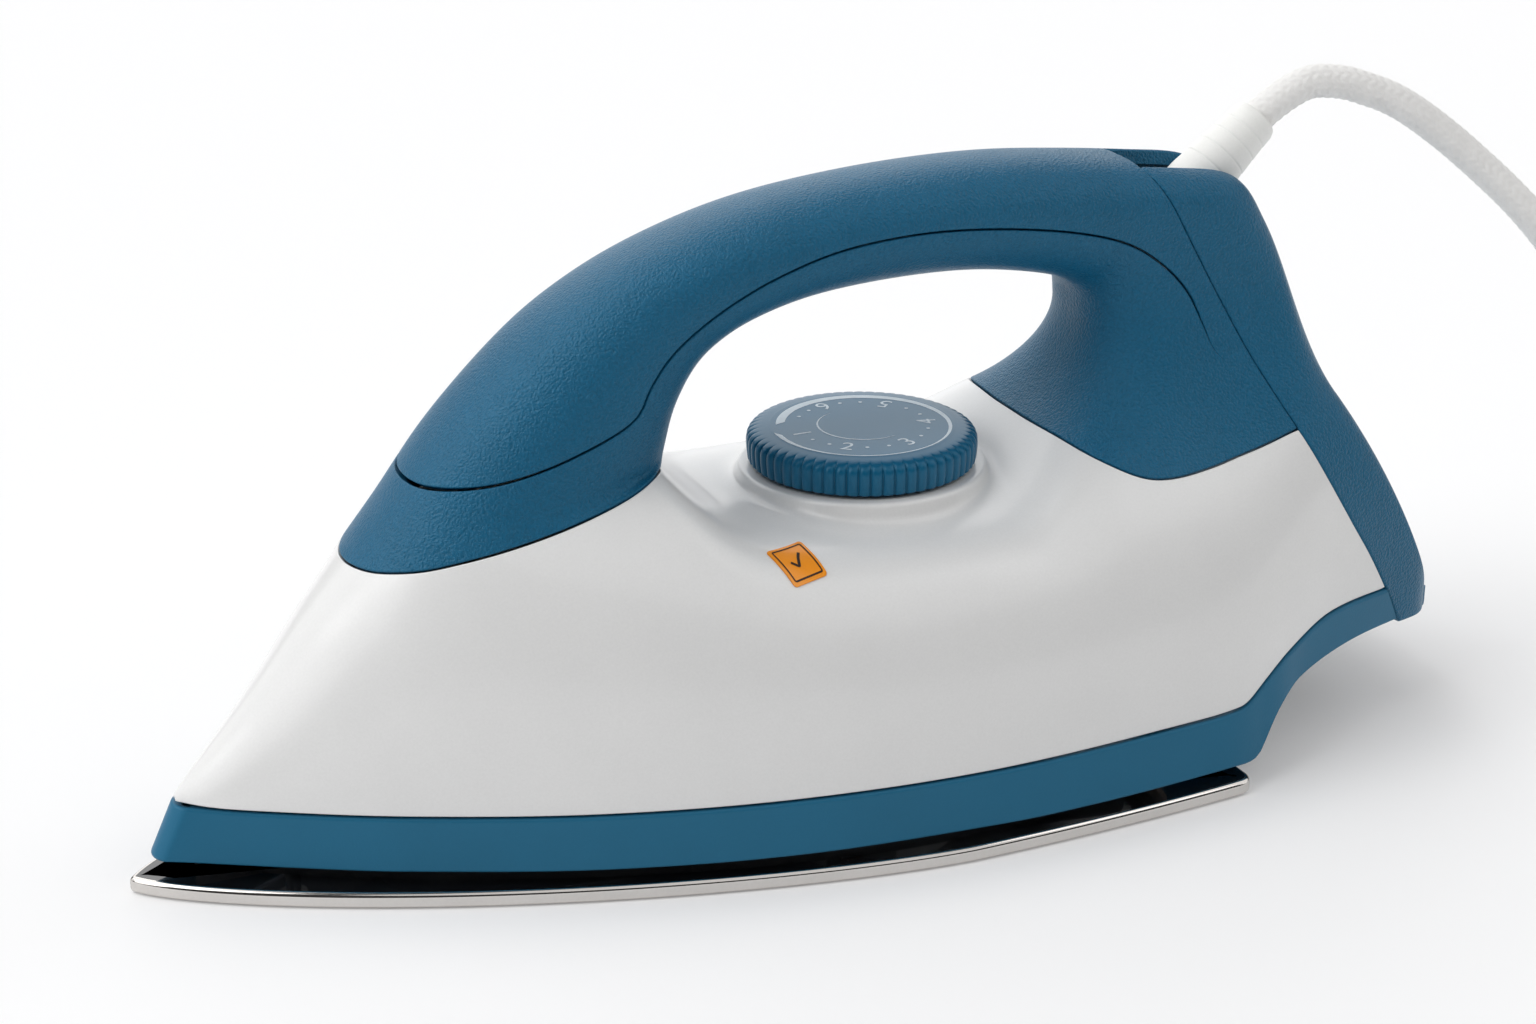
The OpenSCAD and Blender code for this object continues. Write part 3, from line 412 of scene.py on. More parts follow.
front_foot = smoothed([
    (-1, (-3.8, -11)), (0, (-1.3, 0)), (1, (-3.8, 11)), (2, (-8.8, 19.3)), (3, (-16.5, 23)),
    (4, (-27.5, 24.4)), (5, (-39, 23.6)), (6, (-49, 21)), (7, (-57.5, 16.4)), (8, (-64, 9.2)),
    (9, (-66.6, 0)), (10, (-64, -9.2))], 0.02, 0.25)
rear_foot = smoothed([
    (-1, (80.9, -13)), (0, (80.3, 0)), (1, (80.9, 13)), (2, (84, 26.5)), (3, (91.5, 33)),
    (4, (101, 34.3)), (5, (115, 32.6)), (6, (130, 31.2)), (7, (140.5, 29.3)), (8, (147, 21)),
    (9, (149.3, 0)), (10, (147, -21))], 0.02, 0.25)


def foot_ring(foot, sides=SIDES):
    i = np.arange(sides)
    s = np.abs(1 - 2 * i / sides)
    p = foot(s * 9)
    x, y = p[:, 0], p[:, 1]
    y[(i == 0) | (i == sides // 2)] = 0
    z = body_top(x, y)
    return np.stack([x, np.where(i <= sides // 2, y, -y), z], 1)


def hermite(p, q, a, b, u):
    return ((2 * u**3 - 3 * u**2 + 1) * p + (u**3 - 2 * u**2 + u) * a
            + (3 * u**2 - 2 * u**3) * q + (u**3 - u**2) * b)


def flare_way(foot):
    """Direction in which the pillar's skin runs out over the body."""
    plan = np.stack([np.where(np.cos(turn) > 0, 0.45, 0.75) * np.cos(turn), 0.76 * np.sin(turn)], 1)
    sx, sy = body_slope(foot[:, 0], np.abs(foot[:, 1]))
    down = plan[:, 0] * sx + np.abs(plan[:, 1]) * sy
    return unit(np.stack([plan[:, 0], plan[:, 1], down], 1))


front_ring, rear_ring = foot_ring(front_foot), foot_ring(rear_foot)


def handle_rows():
    first, second = handle_ring(1), handle_ring(1.15)
    reach = np.linalg.norm(first - front_ring, axis=1, keepdims=True)
    front = [hermite(front_ring, first, first - front_ring, reach * unit(second - first), u)
             for u in np.linspace(0, 1, 16, endpoint=False)]
    grip = [handle_ring(t) for t in np.linspace(1, 12, 170)]
    top, before = handle_ring(12), handle_ring(11.8)
    reach = np.linalg.norm(rear_ring - top, axis=1, keepdims=True)
    flare = [hermite(top, rear_ring, reach * unit(top - before), reach * flare_way(rear_ring), u)
             for u in np.linspace(0, 1, 71)[1:]]
    return np.array(front + grip + flare)


# ---------------------------------------------------------------- seams

split_line = through([
    (86.5, 157), (99.5, 133.7), (109.4, 115.8), (118.6, 98.5), (125.6, 84), (131.2, 72.5),
    (137.4, 61), (144.2, 50), (151, 40), (157.2, 30), (163.6, 18.4), (176, -4)], 140)
grip_line = through([
    (-62, 78.1), (-54.5, 78.3), (-48.6, 79.2), (-40, 80.8), (-30, 83.4), (-20, 86.6), (-14, 88.9),
    (-10.9, 91.2), (-8.5, 95.5), (-4.3, 100.5), (2.3, 105.3), (11, 110), (19.6, 113.5),
    (30.4, 116.6), (41.3, 118.1), (54, 118.5), (68, 117.5), (82, 115.4), (93.3, 112.6),
    (101, 109.2), (107.5, 104.3), (112.1, 98.8), (114.8, 92.5), (116.8, 87), (121, 83), (127, 81.2),
    (134, 80.8)], 260)
grip_line = np.concatenate([[[-120, 78]], grip_line, [[170, 80.5]]])


def side_of(v, line):
    """Signed distance to a line in the side view, positive to the left of its direction."""
    p = v[:, [0, 2]]
    d, k = line_distance(p, line)
    a, b = line[k], line[k + 1]
    side = (b[:, 0] - a[:, 0]) * (p[:, 1] - a[:, 1]) - (b[:, 1] - a[:, 1]) * (p[:, 0] - a[:, 0])
    return d * np.sign(side)


def behind_split(v):
    return side_of(v, split_line)


def above_grip_seam(v):
    return side_of(v, grip_line)


cut = GAP + EDGE
FADE_FROM, FADE_TO = 113, 120


def seam_cut(v):
    """Half gap of the grip seam with its rounded edge; the gap all but closes on the rear pillar."""
    return cut * (1 - 0.97 * np.clip((v[:, 0] - FADE_FROM) / (FADE_TO - FADE_FROM), 0, 1))


def around(v, foot):
    """Distance from a foot's outline: positive outside it in the plan, negative inside."""
    ring = foot_ring(foot, 480)
    d = np.full(len(v), 99.0)
    low, high = ring.min(0) - 6, ring.max(0) + 6
    near = ((v[:, :3] > low) & (v[:, :3] < high)).all(1)
    d[near] = line_distance(v[near, :3], ring, closed=True)[0]
    box = ((v[:, :2] > ring[:, :2].min(0)) & (v[:, :2] < ring[:, :2].max(0))).all(1) & (v[:, 2] > 45)
    inner = np.zeros(len(v), bool)
    inner[box] = inside_loop(v[box, :2], ring[:, :2])
    return np.where(inner, -np.minimum(d, 50), d)


# ---------------------------------------------------------------- shells

DIAL_X, BOSS_TOP = 45.4, 66.5
HUB_R = 31             # the boss under the dial runs out into the deck at this radius
DECK_LOW = 50          # all of the deck lies above this height


def round_dial(r, angle, z):
    """Points round the dial's axis at radius r and height z."""
    return np.stack([DIAL_X + r * np.cos(angle), r * np.sin(angle), np.full(len(angle), z)], 1)


def body_shell():
    v, f = surface(body_rows(body_x), False)
    v, f = clip(v, f, around(v, front_foot) - cut)
    v, f = clip(v, f, around(v, rear_foot) - cut)
    v, f = clip(v, f, -behind_split(v) - cut)
    v, f = clip(v, f, v[:, 2] - seam_height(v[:, 0]) - cut)
    hub = np.hypot(v[:, 0] - DIAL_X, v[:, 1]) - HUB_R
    v, f = clip(v, f, np.where(v[:, 2] > DECK_LOW, hub, HUB_R))
    v, f = weld(v, f)

    def is_hub(p):
        r = np.hypot(p[:, 0] - DIAL_X, p[:, 1])
        return r.max() < HUB_R + 0.5 and p[:, 2].min() > DECK_LOW
    hub_ring = [r for r in loops(f) if is_hub(v[r, :3])][0]
    v, f = lip(v, f, EDGE, FOLD, lambda p: not is_hub(p))
    # the boss under the dial grows out of the deck with a soft fillet
    rise = [
        (4, 1), (24.4, 1), (25.1, 0.985), (25.5, 0.93), (25.8, 0.82), (26.05, 0.62), (26.4, 0.4),
        (27, 0.22), (28, 0.09), (29.5, 0.02), (HUB_R, 0)]
    p = v[hub_ring, :3]
    angle = np.arctan2(p[:, 1], p[:, 0] - DIAL_X)
    radii = np.concatenate([
        np.linspace(HUB_R, 26.8, 12), np.linspace(26.7, 24.2, 22), np.linspace(23, 5.2, 10)])
    rows = [p]
    for r in radii[1:]:
        x, y = DIAL_X + r * np.cos(angle), r * np.sin(angle)
        share = curve(rise, r)
        z = body_top(x, y) * (1 - share) + BOSS_TOP * share
        rows.append(np.stack([x, y, z], 1))
    grid = np.array(rows)
    normals = grid_normals(grid, True)
    if normals[..., 2].sum() < 0:
        normals = -normals
    normals[0] = v[hub_ring, 3:]
    return weld(*join([(v, f), shell(grid, normals, True)]), 0.002)


def handle_base(v, f):
    v, f = clip(v, f, -above_grip_seam(v) - seam_cut(v))
    v, f = clip(v, f, -behind_split(v) - cut)
    v, f = clip(v, f, np.abs(around(v, front_foot)) - cut)
    v, f = clip(v, f, np.abs(around(v, rear_foot)) - cut)
    v, f = weld(v, f)
    return lip(v, f, EDGE, FOLD)


def grip_cover(v, f):
    v, f = clip(v, f, above_grip_seam(v) - seam_cut(v))
    v, f = clip(v, f, -behind_split(v) - cut)
    v, f = weld(v, f)
    return lip(v, f, EDGE, FOLD)


SLOT_HALF, SLOT_FLOOR = 7.8, 104.5
SLOT_ROUND = 3.0
COVER_EDGE = 0.6
COVER_FOLD = 2.4
COVER_FROM = 118       # the tail's part of the housing starts behind this station


def slot_distance(v):
    """Positive outside the cord's slot, which is open at its top."""
    q = np.stack([np.abs(v[:, 1]) - SLOT_HALF, SLOT_FLOOR - v[:, 2]], 1) + SLOT_ROUND
    return np.linalg.norm(np.maximum(q, 0), axis=1) + np.minimum(q.max(1), 0) - SLOT_ROUND


def tail_end(ring):
    """Rings that close the housing's last one with a rounded rim."""
    made = []
    middle = ring.mean(0)
    for a in np.radians((22.5, 49.5, 72, 85.5, 90)):
        turned = ring.copy()
        turned[:, 0] += 0.9 * math.sin(a)
        shrink = 1 - np.array([0.045, 0.45]) * (1 - math.cos(a))
        turned[:, 1:] = middle[1:] + (ring[:, 1:] - middle[1:]) * shrink
        made.append(turned)
    return np.array(made)


def rear_cover(v, f):
    hv, hf = clip(v, f, behind_split(v) - cut)
    hv, hf = clip(hv, hf, slot_distance(hv) - COVER_EDGE)
    rings = body_rows(body_x[body_x > COVER_FROM])
    bv, bf = surface(np.concatenate([rings, tail_end(rings[-1])]), False)
    bv, bf = clip(bv, bf, behind_split(bv) - cut)
    bv, bf = clip(bv, bf, around(bv, rear_foot))
    v, f = join([weld(hv, hf), weld(bv, bf)])
    v, f = weld(v, f, 0.02)

    def is_free(p):
        return line_distance(p, rear_ring, True)[0].max() > COVER_EDGE
    return lip(v, f, COVER_EDGE, COVER_FOLD, is_free)


# ---------------------------------------------------------------- skirt, plate and dial

SKIRT_NOSE, SKIRT_END = -108.0, 166
RIM_NOSE = NOSE - 0.6
skirt_low = smoothed([
    (SKIRT_NOSE, 7.0), (-95, 6.5), (-60, 6.2), (107, 6.2), (115, 6.4), (118, 10.4), (122, 14.8),
    (129, 18.6), (145, 21.6), (SKIRT_END, 22)], 0.25, 0.8)
skirt_half_low = smoothed([
    (SKIRT_NOSE, 3.0), (-99, 7.2), (-82, 16.4), (-64.6, 25.4), (-29, 40.3), (9, 50.3), (51, 54.7),
    (74, 54.6), (99, 52.6), (112, 50.6), (122, 46), (129, 42), (145, 36), (SKIRT_END, 29)], 0.5, 1.5)
skirt_half_high = smoothed([
    (RIM_NOSE, 2.2), (-98.7, 5.3), (-90.3, 11), (-64.5, 25.1), (-29, 39.9), (9, 49.6), (51, 53.6),
    (99, 50.4), (112, 48), (126, 42.5), (140, 37), (157, 32.2), (SKIRT_END, 29.8)], 0.5, 1.5)


def nose_round(x, tip, size):
    d = np.clip((x - tip) / size, 0, 1)
    return np.sqrt(1 - (1 - d) ** 2)


def base_skirt():
    u = np.linspace(-1, 1, 521)
    s = np.abs(u) ** 1.5
    x0 = SKIRT_NOSE + (SKIRT_END - SKIRT_NOSE) * s
    x1 = RIM_NOSE + (SKIRT_END - RIM_NOSE) * s
    y0 = np.sign(u) * skirt_half_low(x0) * nose_round(x0, SKIRT_NOSE, 2.2)
    y1 = np.sign(u) * (skirt_half_high(x1) + 0.55) * nose_round(x1, RIM_NOSE, 2.0)
    z0 = skirt_low(x0)
    z1 = seam_height(x1) - 0.25
    low, high = np.stack([x0, y0, z0], 1), np.stack([x1, y1, z1], 1)
    out = grid_normals(np.stack([low, high]), False)[0]
    flat = np.sign((out * (low - [20, 0, 10]) * [1, 1, 0]).sum(1).mean())
    out = out * flat
    up = unit(high - low)
    r, t = 0.7, 2.4
    arc = [math.radians(a) for a in (0, 22.5, 45, 67.5, 90)]
    pts, nrm = [], []

    def put(base, across, along, n_out, n_up):
        """One row of the wall's section: across is outwards, along runs from lower to upper edge."""
        pts.append(base + out * across + up * along)
        nrm.append(unit(out * n_out + up * n_up))
    put(low, -t, 4.0, -1, 0)
    put(low, -t, 0.3, -1, 0)
    put(low, -t + 0.3, 0.0, 0, -1)
    for a in arc:
        put(low, -r * (1 - math.sin(a)), r * (1 - math.cos(a)), math.sin(a), -math.cos(a))
    for k in (0.2, 0.4, 0.6, 0.8):
        pts.append(low * (1 - k) + high * k + up * (r * (1 - 2 * k)))
        nrm.append(out)
    for a in reversed(arc):
        put(high, -r * (1 - math.sin(a)), -r * (1 - math.cos(a)), math.sin(a), math.cos(a))
    put(high, -t + 0.3, 0.0, 0, 1)
    put(high, -t, -0.3, -1, 0)
    put(high, -t, -4.0, -1, 0)
    v, f = shell(np.array(pts), np.array(nrm), False)
    return clip(v, f, -behind_split(v) - 0.25)


HALF_L, HALF_W, PLATE = 112.5, 56.25, 3.2


def sole_plate():
    u = np.linspace(0, 1, 900)
    t = np.concatenate([u**2 * 0.25, 0.25 + u[1:] * 0.70, 0.95 + 0.05 * (1 - (1 - u[1:]) ** 2)])
    widest = 0.703
    half = np.where(t < widest, (1 - np.maximum(1 - t / widest, 0) ** 1.509) ** 0.769,
                    1 - 0.065 * ((t - widest) / (1 - widest)) ** 2)
    x, y = -HALF_L + 2 * HALF_L * t, HALF_W * half
    corner = 3.5
    d = np.maximum(x - (HALF_L - corner), 0)
    y = y - corner + np.sqrt(np.maximum(corner**2 - d**2, 0))
    side = np.stack([x, y], 1)
    rear = np.stack([np.full(39, x[-1]), np.linspace(y[-1], -y[-1], 41)[1:-1]], 1)
    line = np.concatenate([side[::-1], side[1:] * [1, -1], rear[::-1]])
    # even spacing along the outline
    step = np.linalg.norm(np.roll(line, -1, 0) - line, axis=1)
    at = np.concatenate([[0], np.cumsum(step)])
    closed = np.concatenate([line, line[:1]])
    m = 900
    s = np.linspace(0, at[-1], m, endpoint=False)
    line = np.stack([np.interp(s, at, closed[:, 0]), np.interp(s, at, closed[:, 1])], 1)
    tangent = ring_blur(np.roll(line, -1, 0) - np.roll(line, 1, 0), 2)
    out = unit(np.stack([tangent[:, 1], -tangent[:, 0]], 1))
    if (out * line).sum() < 0:
        out = -out
    profile = [(9.0, 0.0, 0, -1), (2.0, 0.0, 0, -1)]
    for a in range(0, 91, 15):
        q = math.radians(a)
        profile.append((0.9 * (1 - math.sin(q)), 0.9 * (1 - math.cos(q)), math.sin(q), -math.cos(q)))
    for a in range(90, -1, -15):
        q = math.radians(a)
        inset, drop = 1.15 * (1 - math.sin(q)), 1 - math.cos(q)
        profile.append((inset, PLATE - drop, math.sin(q), math.cos(q)))
    profile += [(2.0, PLATE, 0, 1), (9.0, PLATE, 0, 1)]
    grid, nrm = [], []
    for inset, z, no, nz in profile:
        shrink = np.stack([line[:, 0] - out[:, 0] * inset, line[:, 1] - out[:, 1] * inset], 1)
        grid.append(np.concatenate([shrink, np.full((m, 1), z)], 1))
        nrm.append(unit(np.concatenate([out * no, np.full((m, 1), float(nz))], 1)))
    v, f = shell(np.array(grid), np.array(nrm), True)
    faces = f.tolist()
    low = list(range(m))
    high = [(len(profile) - 1) * m + k for k in range(m)]
    area = (line[:, 0] * np.roll(line[:, 1], -1) - np.roll(line[:, 0], -1) * line[:, 1]).sum()
    faces.append(high if area > 0 else high[::-1])
    faces.append(low[::-1] if area > 0 else low)
    return v, faces


RIBS = 60
DIAL_Z = 67.3


def dial():
    """Knob with fine ribs round its rim and a slightly crowned top."""
    n = RIBS * 12
    phi = np.arange(n) * 2 * math.pi / n
    wave = np.abs(np.cos(phi * RIBS / 2)) ** 0.42
    profile = [
        (14.0, 0.9, 0), (21.5, 0.9, 0), (22.6, 0.25, 0), (23.0, 0.0, 0.2), (23.35, 0.0, 0.7),
        (23.6, 0.2, 0.95), (23.72, 0.7, 1), (23.86, 2.0, 1), (23.95, 3.2, 1), (23.95, 4.2, 1),
        (23.86, 4.9, 1), (23.62, 5.5, 1), (23.2, 6.0, 0.92), (22.6, 6.35, 0.7), (22.0, 6.55, 0.42),
        (21.3, 6.7, 0.15), (20.5, 6.8, 0.02), (19.6, 6.88, 0), (19.2, 6.93, 0), (18.9, 7.0, 0),
        (17.5, 7.0, 0), (13, 7.0, 0), (9, 7.0, 0), (4, 7.0, 0), (1, 7.0, 0)]
    rows = []
    for r, z, share in profile:
        radius = r - 0.8 * share * (1 - wave) + 0.05 * share
        rows.append(round_dial(radius, phi, DIAL_Z + z))
    v, f = surface(np.array(rows), True, np.array([DIAL_X, 0, DIAL_Z + 2]))
    last = np.arange(len(v) - n, len(v))
    v = np.concatenate([v, [[DIAL_X, 0, DIAL_Z + 7, 0, 0, 1]]])
    fan = np.stack([last, np.roll(last, -1), np.full(n, len(v) - 1)], 1)
    return v, np.concatenate([f, fan])


def revolve(profile, n, place):
    """Surface of revolution about the local z axis; place maps points and directions to the model."""
    phi = np.arange(n) * 2 * math.pi / n
    rows = [np.stack([r * np.cos(phi), r * np.sin(phi), np.full(n, z)], 1) for r, z in profile]
    grid = np.array(rows)
    middle = np.array([0, 0, np.mean([z for _, z in profile])])
    v, f = surface(grid, True, middle)
    v = np.concatenate([place(v[:, :3], False), place(v[:, 3:], True)], 1)
    return v, f


def round_profile(points, radius, steps=4):
    """Rounds the corners of an open profile."""
    pts = [np.array(p, float) for p in points]
    out = [tuple(pts[0])]
    for a, b, c in zip(pts, pts[1:], pts[2:]):
        r = min(radius, 0.45 * np.linalg.norm(a - b), 0.45 * np.linalg.norm(c - b))
        p, q = b + unit(a - b) * r, b + unit(c - b) * r
        for k in range(steps + 1):
            u = k / steps
            out.append(tuple((1 - u) ** 2 * p + 2 * u * (1 - u) * b + u * u * q))
    out.append(tuple(pts[-1]))
    return out


# ---------------------------------------------------------------- cord, guard and plug

PIVOT = np.array([116.7, 0, 111.6])
LEAN = math.radians(41.6)
guard_axis = np.array([math.cos(LEAN), 0, math.sin(LEAN)])
guard_side = np.array([math.sin(LEAN), 0, -math.cos(LEAN)])
CORD_R = 3.6
CORD_SIDES = 72


def on_guard(p, is_direction):
    base = p[:, [0]] * guard_side + p[:, [1]] * np.array([0, 1, 0]) + p[:, [2]] * guard_axis
    return base if is_direction else base + PIVOT


def cord_guard():
    prof = [(3.8, -6.0), (4.6, -6.0), (6.6, -3.5), (6.6, 8.4)]
    rings = [12.5, 16.3, 20.0, 23.4]
    for z in rings:
        r = 6.6 - (z - 8.4) * (6.6 - 5.0) / 18.6
        prof += [(r, z - 0.32), (r - 0.16, z), (r - 0.02, z + 0.32)]
    prof += [(5.15, 26.3), (4.6, 27.6), (3.78, 27.9), (3.74, 24)]
    return revolve(round_profile(prof, 0.5, 3), 96, on_guard)


def trunnions():
    parts = []
    for side in (-1, 1):
        prof = round_profile([(0.01, 0), (2.5, 0), (2.5, 5.0), (0.01, 5.0)], 0.3, 3)

        def place(p, is_direction, side=side):
            if is_direction:
                return np.stack([p[:, 0], -side * p[:, 2], p[:, 1]], 1)
            return np.stack([p[:, 0], side * (10.5 - p[:, 2]), p[:, 1]], 1) + PIVOT
        parts.append(revolve(prof, 32, place))
    return join(parts)


cord_keys = [(115.2, 0, 78), (115.2, 0, 85), (114.2, 0, 93), (112.7, 0, 101),
    (113.5, 0, 107.3), tuple(PIVOT), (127.2, 0, 120.9), (137.7, 0, 130.2), (147.5, -0.5, 135.9),
    (154.5, -1.2, 136.3), (161.5, -2.4, 134.6), (172, -4.6, 129.8), (186.5, -8, 118.7),
    (202, -14, 103), (216, -19, 83), (226, -24, 61), (232, -30, 40), (235, -37, 26),
    (235.9, -44.5, 20.2), (236, -50.5, 18.5), (236, -57.5, 18.4)]


def even(line, step):
    gaps = np.linalg.norm(np.diff(line, axis=0), axis=1)
    at = np.concatenate([[0], np.cumsum(gaps)])
    s = np.linspace(0, at[-1], int(at[-1] / step) + 1)
    return np.stack([np.interp(s, at, line[:, k]) for k in range(3)], 1), s


def frames(line):
    """Two directions square to a line at each of its points, turning as little as they can."""
    way = unit(np.gradient(line, axis=0))
    side = np.zeros_like(line)
    a = unit(np.cross(way[0], [0.0, 1.0, 0.0]))
    for i, t in enumerate(way):
        a = unit(a - (a @ t) * t)
        side[i] = a
    return side, np.cross(way, side)


def braided(line, s):
    """Round braid: two sets of flat strands wind opposite ways and pass over and under each other."""
    phi = np.arange(CORD_SIDES) * 2 * math.pi / CORD_SIDES
    a, b = frames(line)
    starts, pitch = 8, 17.0
    lead = s[:, None] / pitch * 2 * math.pi
    up = (starts * (phi[None, :] + lead)) / (2 * math.pi)
    down = (starts * (phi[None, :] - lead)) / (2 * math.pi)

    def strand(q):
        w = q - np.floor(q)
        return np.sqrt(np.maximum(1 - (2 * w - 1) ** 2 * 0.98, 0))
    over = 0.5 + 0.5 * np.sin(math.pi * (up + down))
    h_up = strand(up) * (0.75 + 0.5 * over)
    h_down = strand(down) * (0.75 + 0.5 * (1 - over))
    height = np.maximum(h_up, h_down)
    radius = CORD_R - 0.42 + 0.36 * height
    ring = (line[:, None, :] + radius[..., None] * (np.cos(phi)[None, :, None] * a[:, None, :]
                                                    + np.sin(phi)[None, :, None] * b[:, None, :]))
    return surface(ring, True, line[:, None, :])


def capped(v, f, rows, cols):
    """Closes both ends of a tube made by surface()."""
    ends = []
    for start in (0, (rows - 1) * cols):
        ids = np.arange(start, start + cols)
        c = len(v)
        v = np.concatenate([v, [np.concatenate([v[ids, :3].mean(0), [0, 0, 1]])]])
        ends.append(np.stack([ids, np.roll(ids, -1), np.full(cols, c)], 1))
    return v, np.concatenate([f] + ends)


PLUG_AT = np.array([236, -50, 18.4])
PIN_REACH = 42         # from the plug's collar to the root of its pins
PIN_OFF = 9.5


def along_plug(p, is_direction, start=PLUG_AT):
    turned = np.stack([p[:, 0], -p[:, 2], p[:, 1]], 1)
    return turned if is_direction else turned + start


def plug_body():
    prof = round_profile([
        (3.75, 0), (5, 0), (5.6, 6), (6.4, 18), (8.2, 23.5), (12.6, 28), (17, 31), (18.2, 35),
        (18.2, 49), (17.2, 51), (0.02, 51)], 1.6, 4)
    v, f = revolve(prof, 144, along_plug)
    # finger flats with shallow ridges on two sides
    local_y = v[:, 2] - PLUG_AT[2]
    along = PLUG_AT[1] - v[:, 1]
    ridge = 0.35 * np.abs(np.sin((along - 31) * math.pi / 3.0))
    limit = 15.6 + ridge
    zone = (along > 27) & (along < 51.5)
    v[:, 2] = np.where(zone & (np.abs(local_y) > limit), PLUG_AT[2] + np.sign(local_y) * limit, v[:, 2])
    return v[:, :3], f


def plug_pins():
    parts = []
    for side in (-1, 1):
        prof = round_profile([(0.02, 0), (2.4, 0), (2.4, 26), (1.5, 28), (0.02, 28)], 0.6, 4)

        def place(p, is_direction, start=PLUG_AT + [side * PIN_OFF, -PIN_REACH, 0]):
            return along_plug(p, is_direction, start)
        parts.append(revolve(prof, 48, place))
    return join(parts)


# ---------------------------------------------------------------- print and label

def flat_strip(inner, outer, angles, z):
    """Thin printed arc on the dial; inner and outer give the radii at each angle."""
    rows = np.array([round_dial(r, angles, z) for r in (inner, outer)])
    return shell(rows, np.tile([0, 0, 1.0], (2, len(angles), 1)), False)


PRINT_Z = DIAL_Z + 7.03
MARKS_R = 13.8


def dial_rings():
    """A band that swells from a hair line to full width as it winds round, and a fine inner arc."""
    a = np.radians(np.linspace(172, 172 + 345, 300))
    k = np.linspace(0, 1, 300)
    outer = 18.9 - 1.1 * k**2
    width = 0.35 + 0.9 * np.clip(1 - k / 0.2, 0, 1) ** 1.4 + 1.5 * np.clip((k - 0.35) / 0.35, 0, 1) ** 1.2
    fade = np.minimum(1, np.minimum(k, 1 - k) * 60)
    band = flat_strip(outer - width * fade, outer, a, PRINT_Z)
    b = np.radians(np.linspace(108, 292, 160))
    q = np.linspace(0, 1, 160)
    thin = 0.42 * np.sin(math.pi * q) ** 0.6
    arc = flat_strip(9.4 - thin, np.full(160, 9.4), b, PRINT_Z)
    dots = []
    for deg in (198, 216, 249, 268, 306, 326, 3, 22, 66, 84, 118, 136):
        c = math.radians(deg)
        middle = np.array([DIAL_X + MARKS_R * math.cos(c), MARKS_R * math.sin(c), PRINT_Z])
        t = np.radians(np.arange(0, 360, 20))
        ring = middle + 0.42 * np.stack([np.cos(t), np.sin(t), 0 * t], 1)
        v = np.concatenate([np.concatenate([ring, [middle]]), np.tile([0, 0, 1.0], (19, 1))], 1)
        dots.append((v, np.stack([np.arange(18), (np.arange(18) + 1) % 18, np.full(18, 18)], 1)))
    return join([band, arc] + dots)


def dial_numbers():
    """Setting numbers, each reading from the middle of the dial outwards."""
    made = []
    for label, deg in (("1", 180), ("2", 232), ("3", 287), ("4", 344), ("5", 44), ("6", 101)):
        text = bpy.data.curves.new("number_" + label, "FONT")
        text.body = label
        text.size = 0.0058
        text.align_x, text.align_y = "CENTER", "CENTER"
        ob = bpy.data.objects.new("number_" + label, text)
        bpy.context.scene.collection.objects.link(ob)
        a = math.radians(deg)
        ob.location = ((DIAL_X + MARKS_R * math.cos(a)) * MM, MARKS_R * math.sin(a) * MM, PRINT_Z * MM)
        ob.rotation_euler = (0, 0, a + math.pi / 2)
        bpy.context.view_layer.update()
        mesh = bpy.data.meshes.new_from_object(ob)
        mesh.transform(ob.matrix_world)
        bpy.data.objects.remove(ob)
        piece = bpy.data.objects.new("dial_number_" + label, mesh)
        bpy.context.scene.collection.objects.link(piece)
        made.append(piece)
    return made


LABEL = np.array([(12.2, -39.8), (20.55, -38.4), (9, -31.3), (19.4, -26.3)])
FILM_LIFT, PRINT_LIFT = 0.3, 0.36


def on_body(uv, lift):
    """Lays flat drawing points, within 5 of their middle, on the body between the label's corners."""
    s, t = (uv[:, :1] + 5) / 10, (uv[:, 1:] + 5) / 10
    flat = (1 - t) * ((1 - s) * LABEL[0] + s * LABEL[1]) + t * ((1 - s) * LABEL[2] + s * LABEL[3])
    x, y = flat[:, 0], flat[:, 1]
    ax, ay = body_slope(x, y)
    m = unit(np.stack([-ax, -ay, np.ones(len(x))], 1))
    return np.concatenate([np.stack([x, y, body_top(x, y)], 1) + lift * m, m], 1)


def rounded_square(half, r, steps=6):
    pts = []
    for q in range(4):
        c = np.array([(half - r) * s for s in ((1, 1), (-1, 1), (-1, -1), (1, -1))[q]])
        for k in range(steps + 1):
            a = math.radians(90 * q + 90 * k / steps)
            pts.append(c + r * np.array([math.cos(a), math.sin(a)]))
    pts = np.array(pts)
    dense = []
    for a, b in zip(pts, np.roll(pts, -1, 0)):
        n = max(int(np.linalg.norm(b - a) / 0.35), 1)
        dense += [a + (b - a) * i / n for i in range(n)]
    return np.array(dense)


def label_film(half, r, lift, thick):
    """Rounded square film lying on the body, with its edges turned down."""
    ring = rounded_square(half, r)
    n = len(ring)
    rows = [on_body(ring * s, lift) for s in np.linspace(0.02, 0.985, 16)]
    rows.append(on_body(ring * 0.997, lift - thick * 0.3))
    rows.append(on_body(ring, lift - thick))
    v = np.concatenate(rows + [on_body(np.zeros((1, 2)), lift)])
    fan = np.stack([np.arange(n), (np.arange(n) + 1) % n, np.full(n, len(v) - 1)], 1)
    return v, np.concatenate([facing(v, grid_faces(len(rows), n, True)), facing(v, fan)])


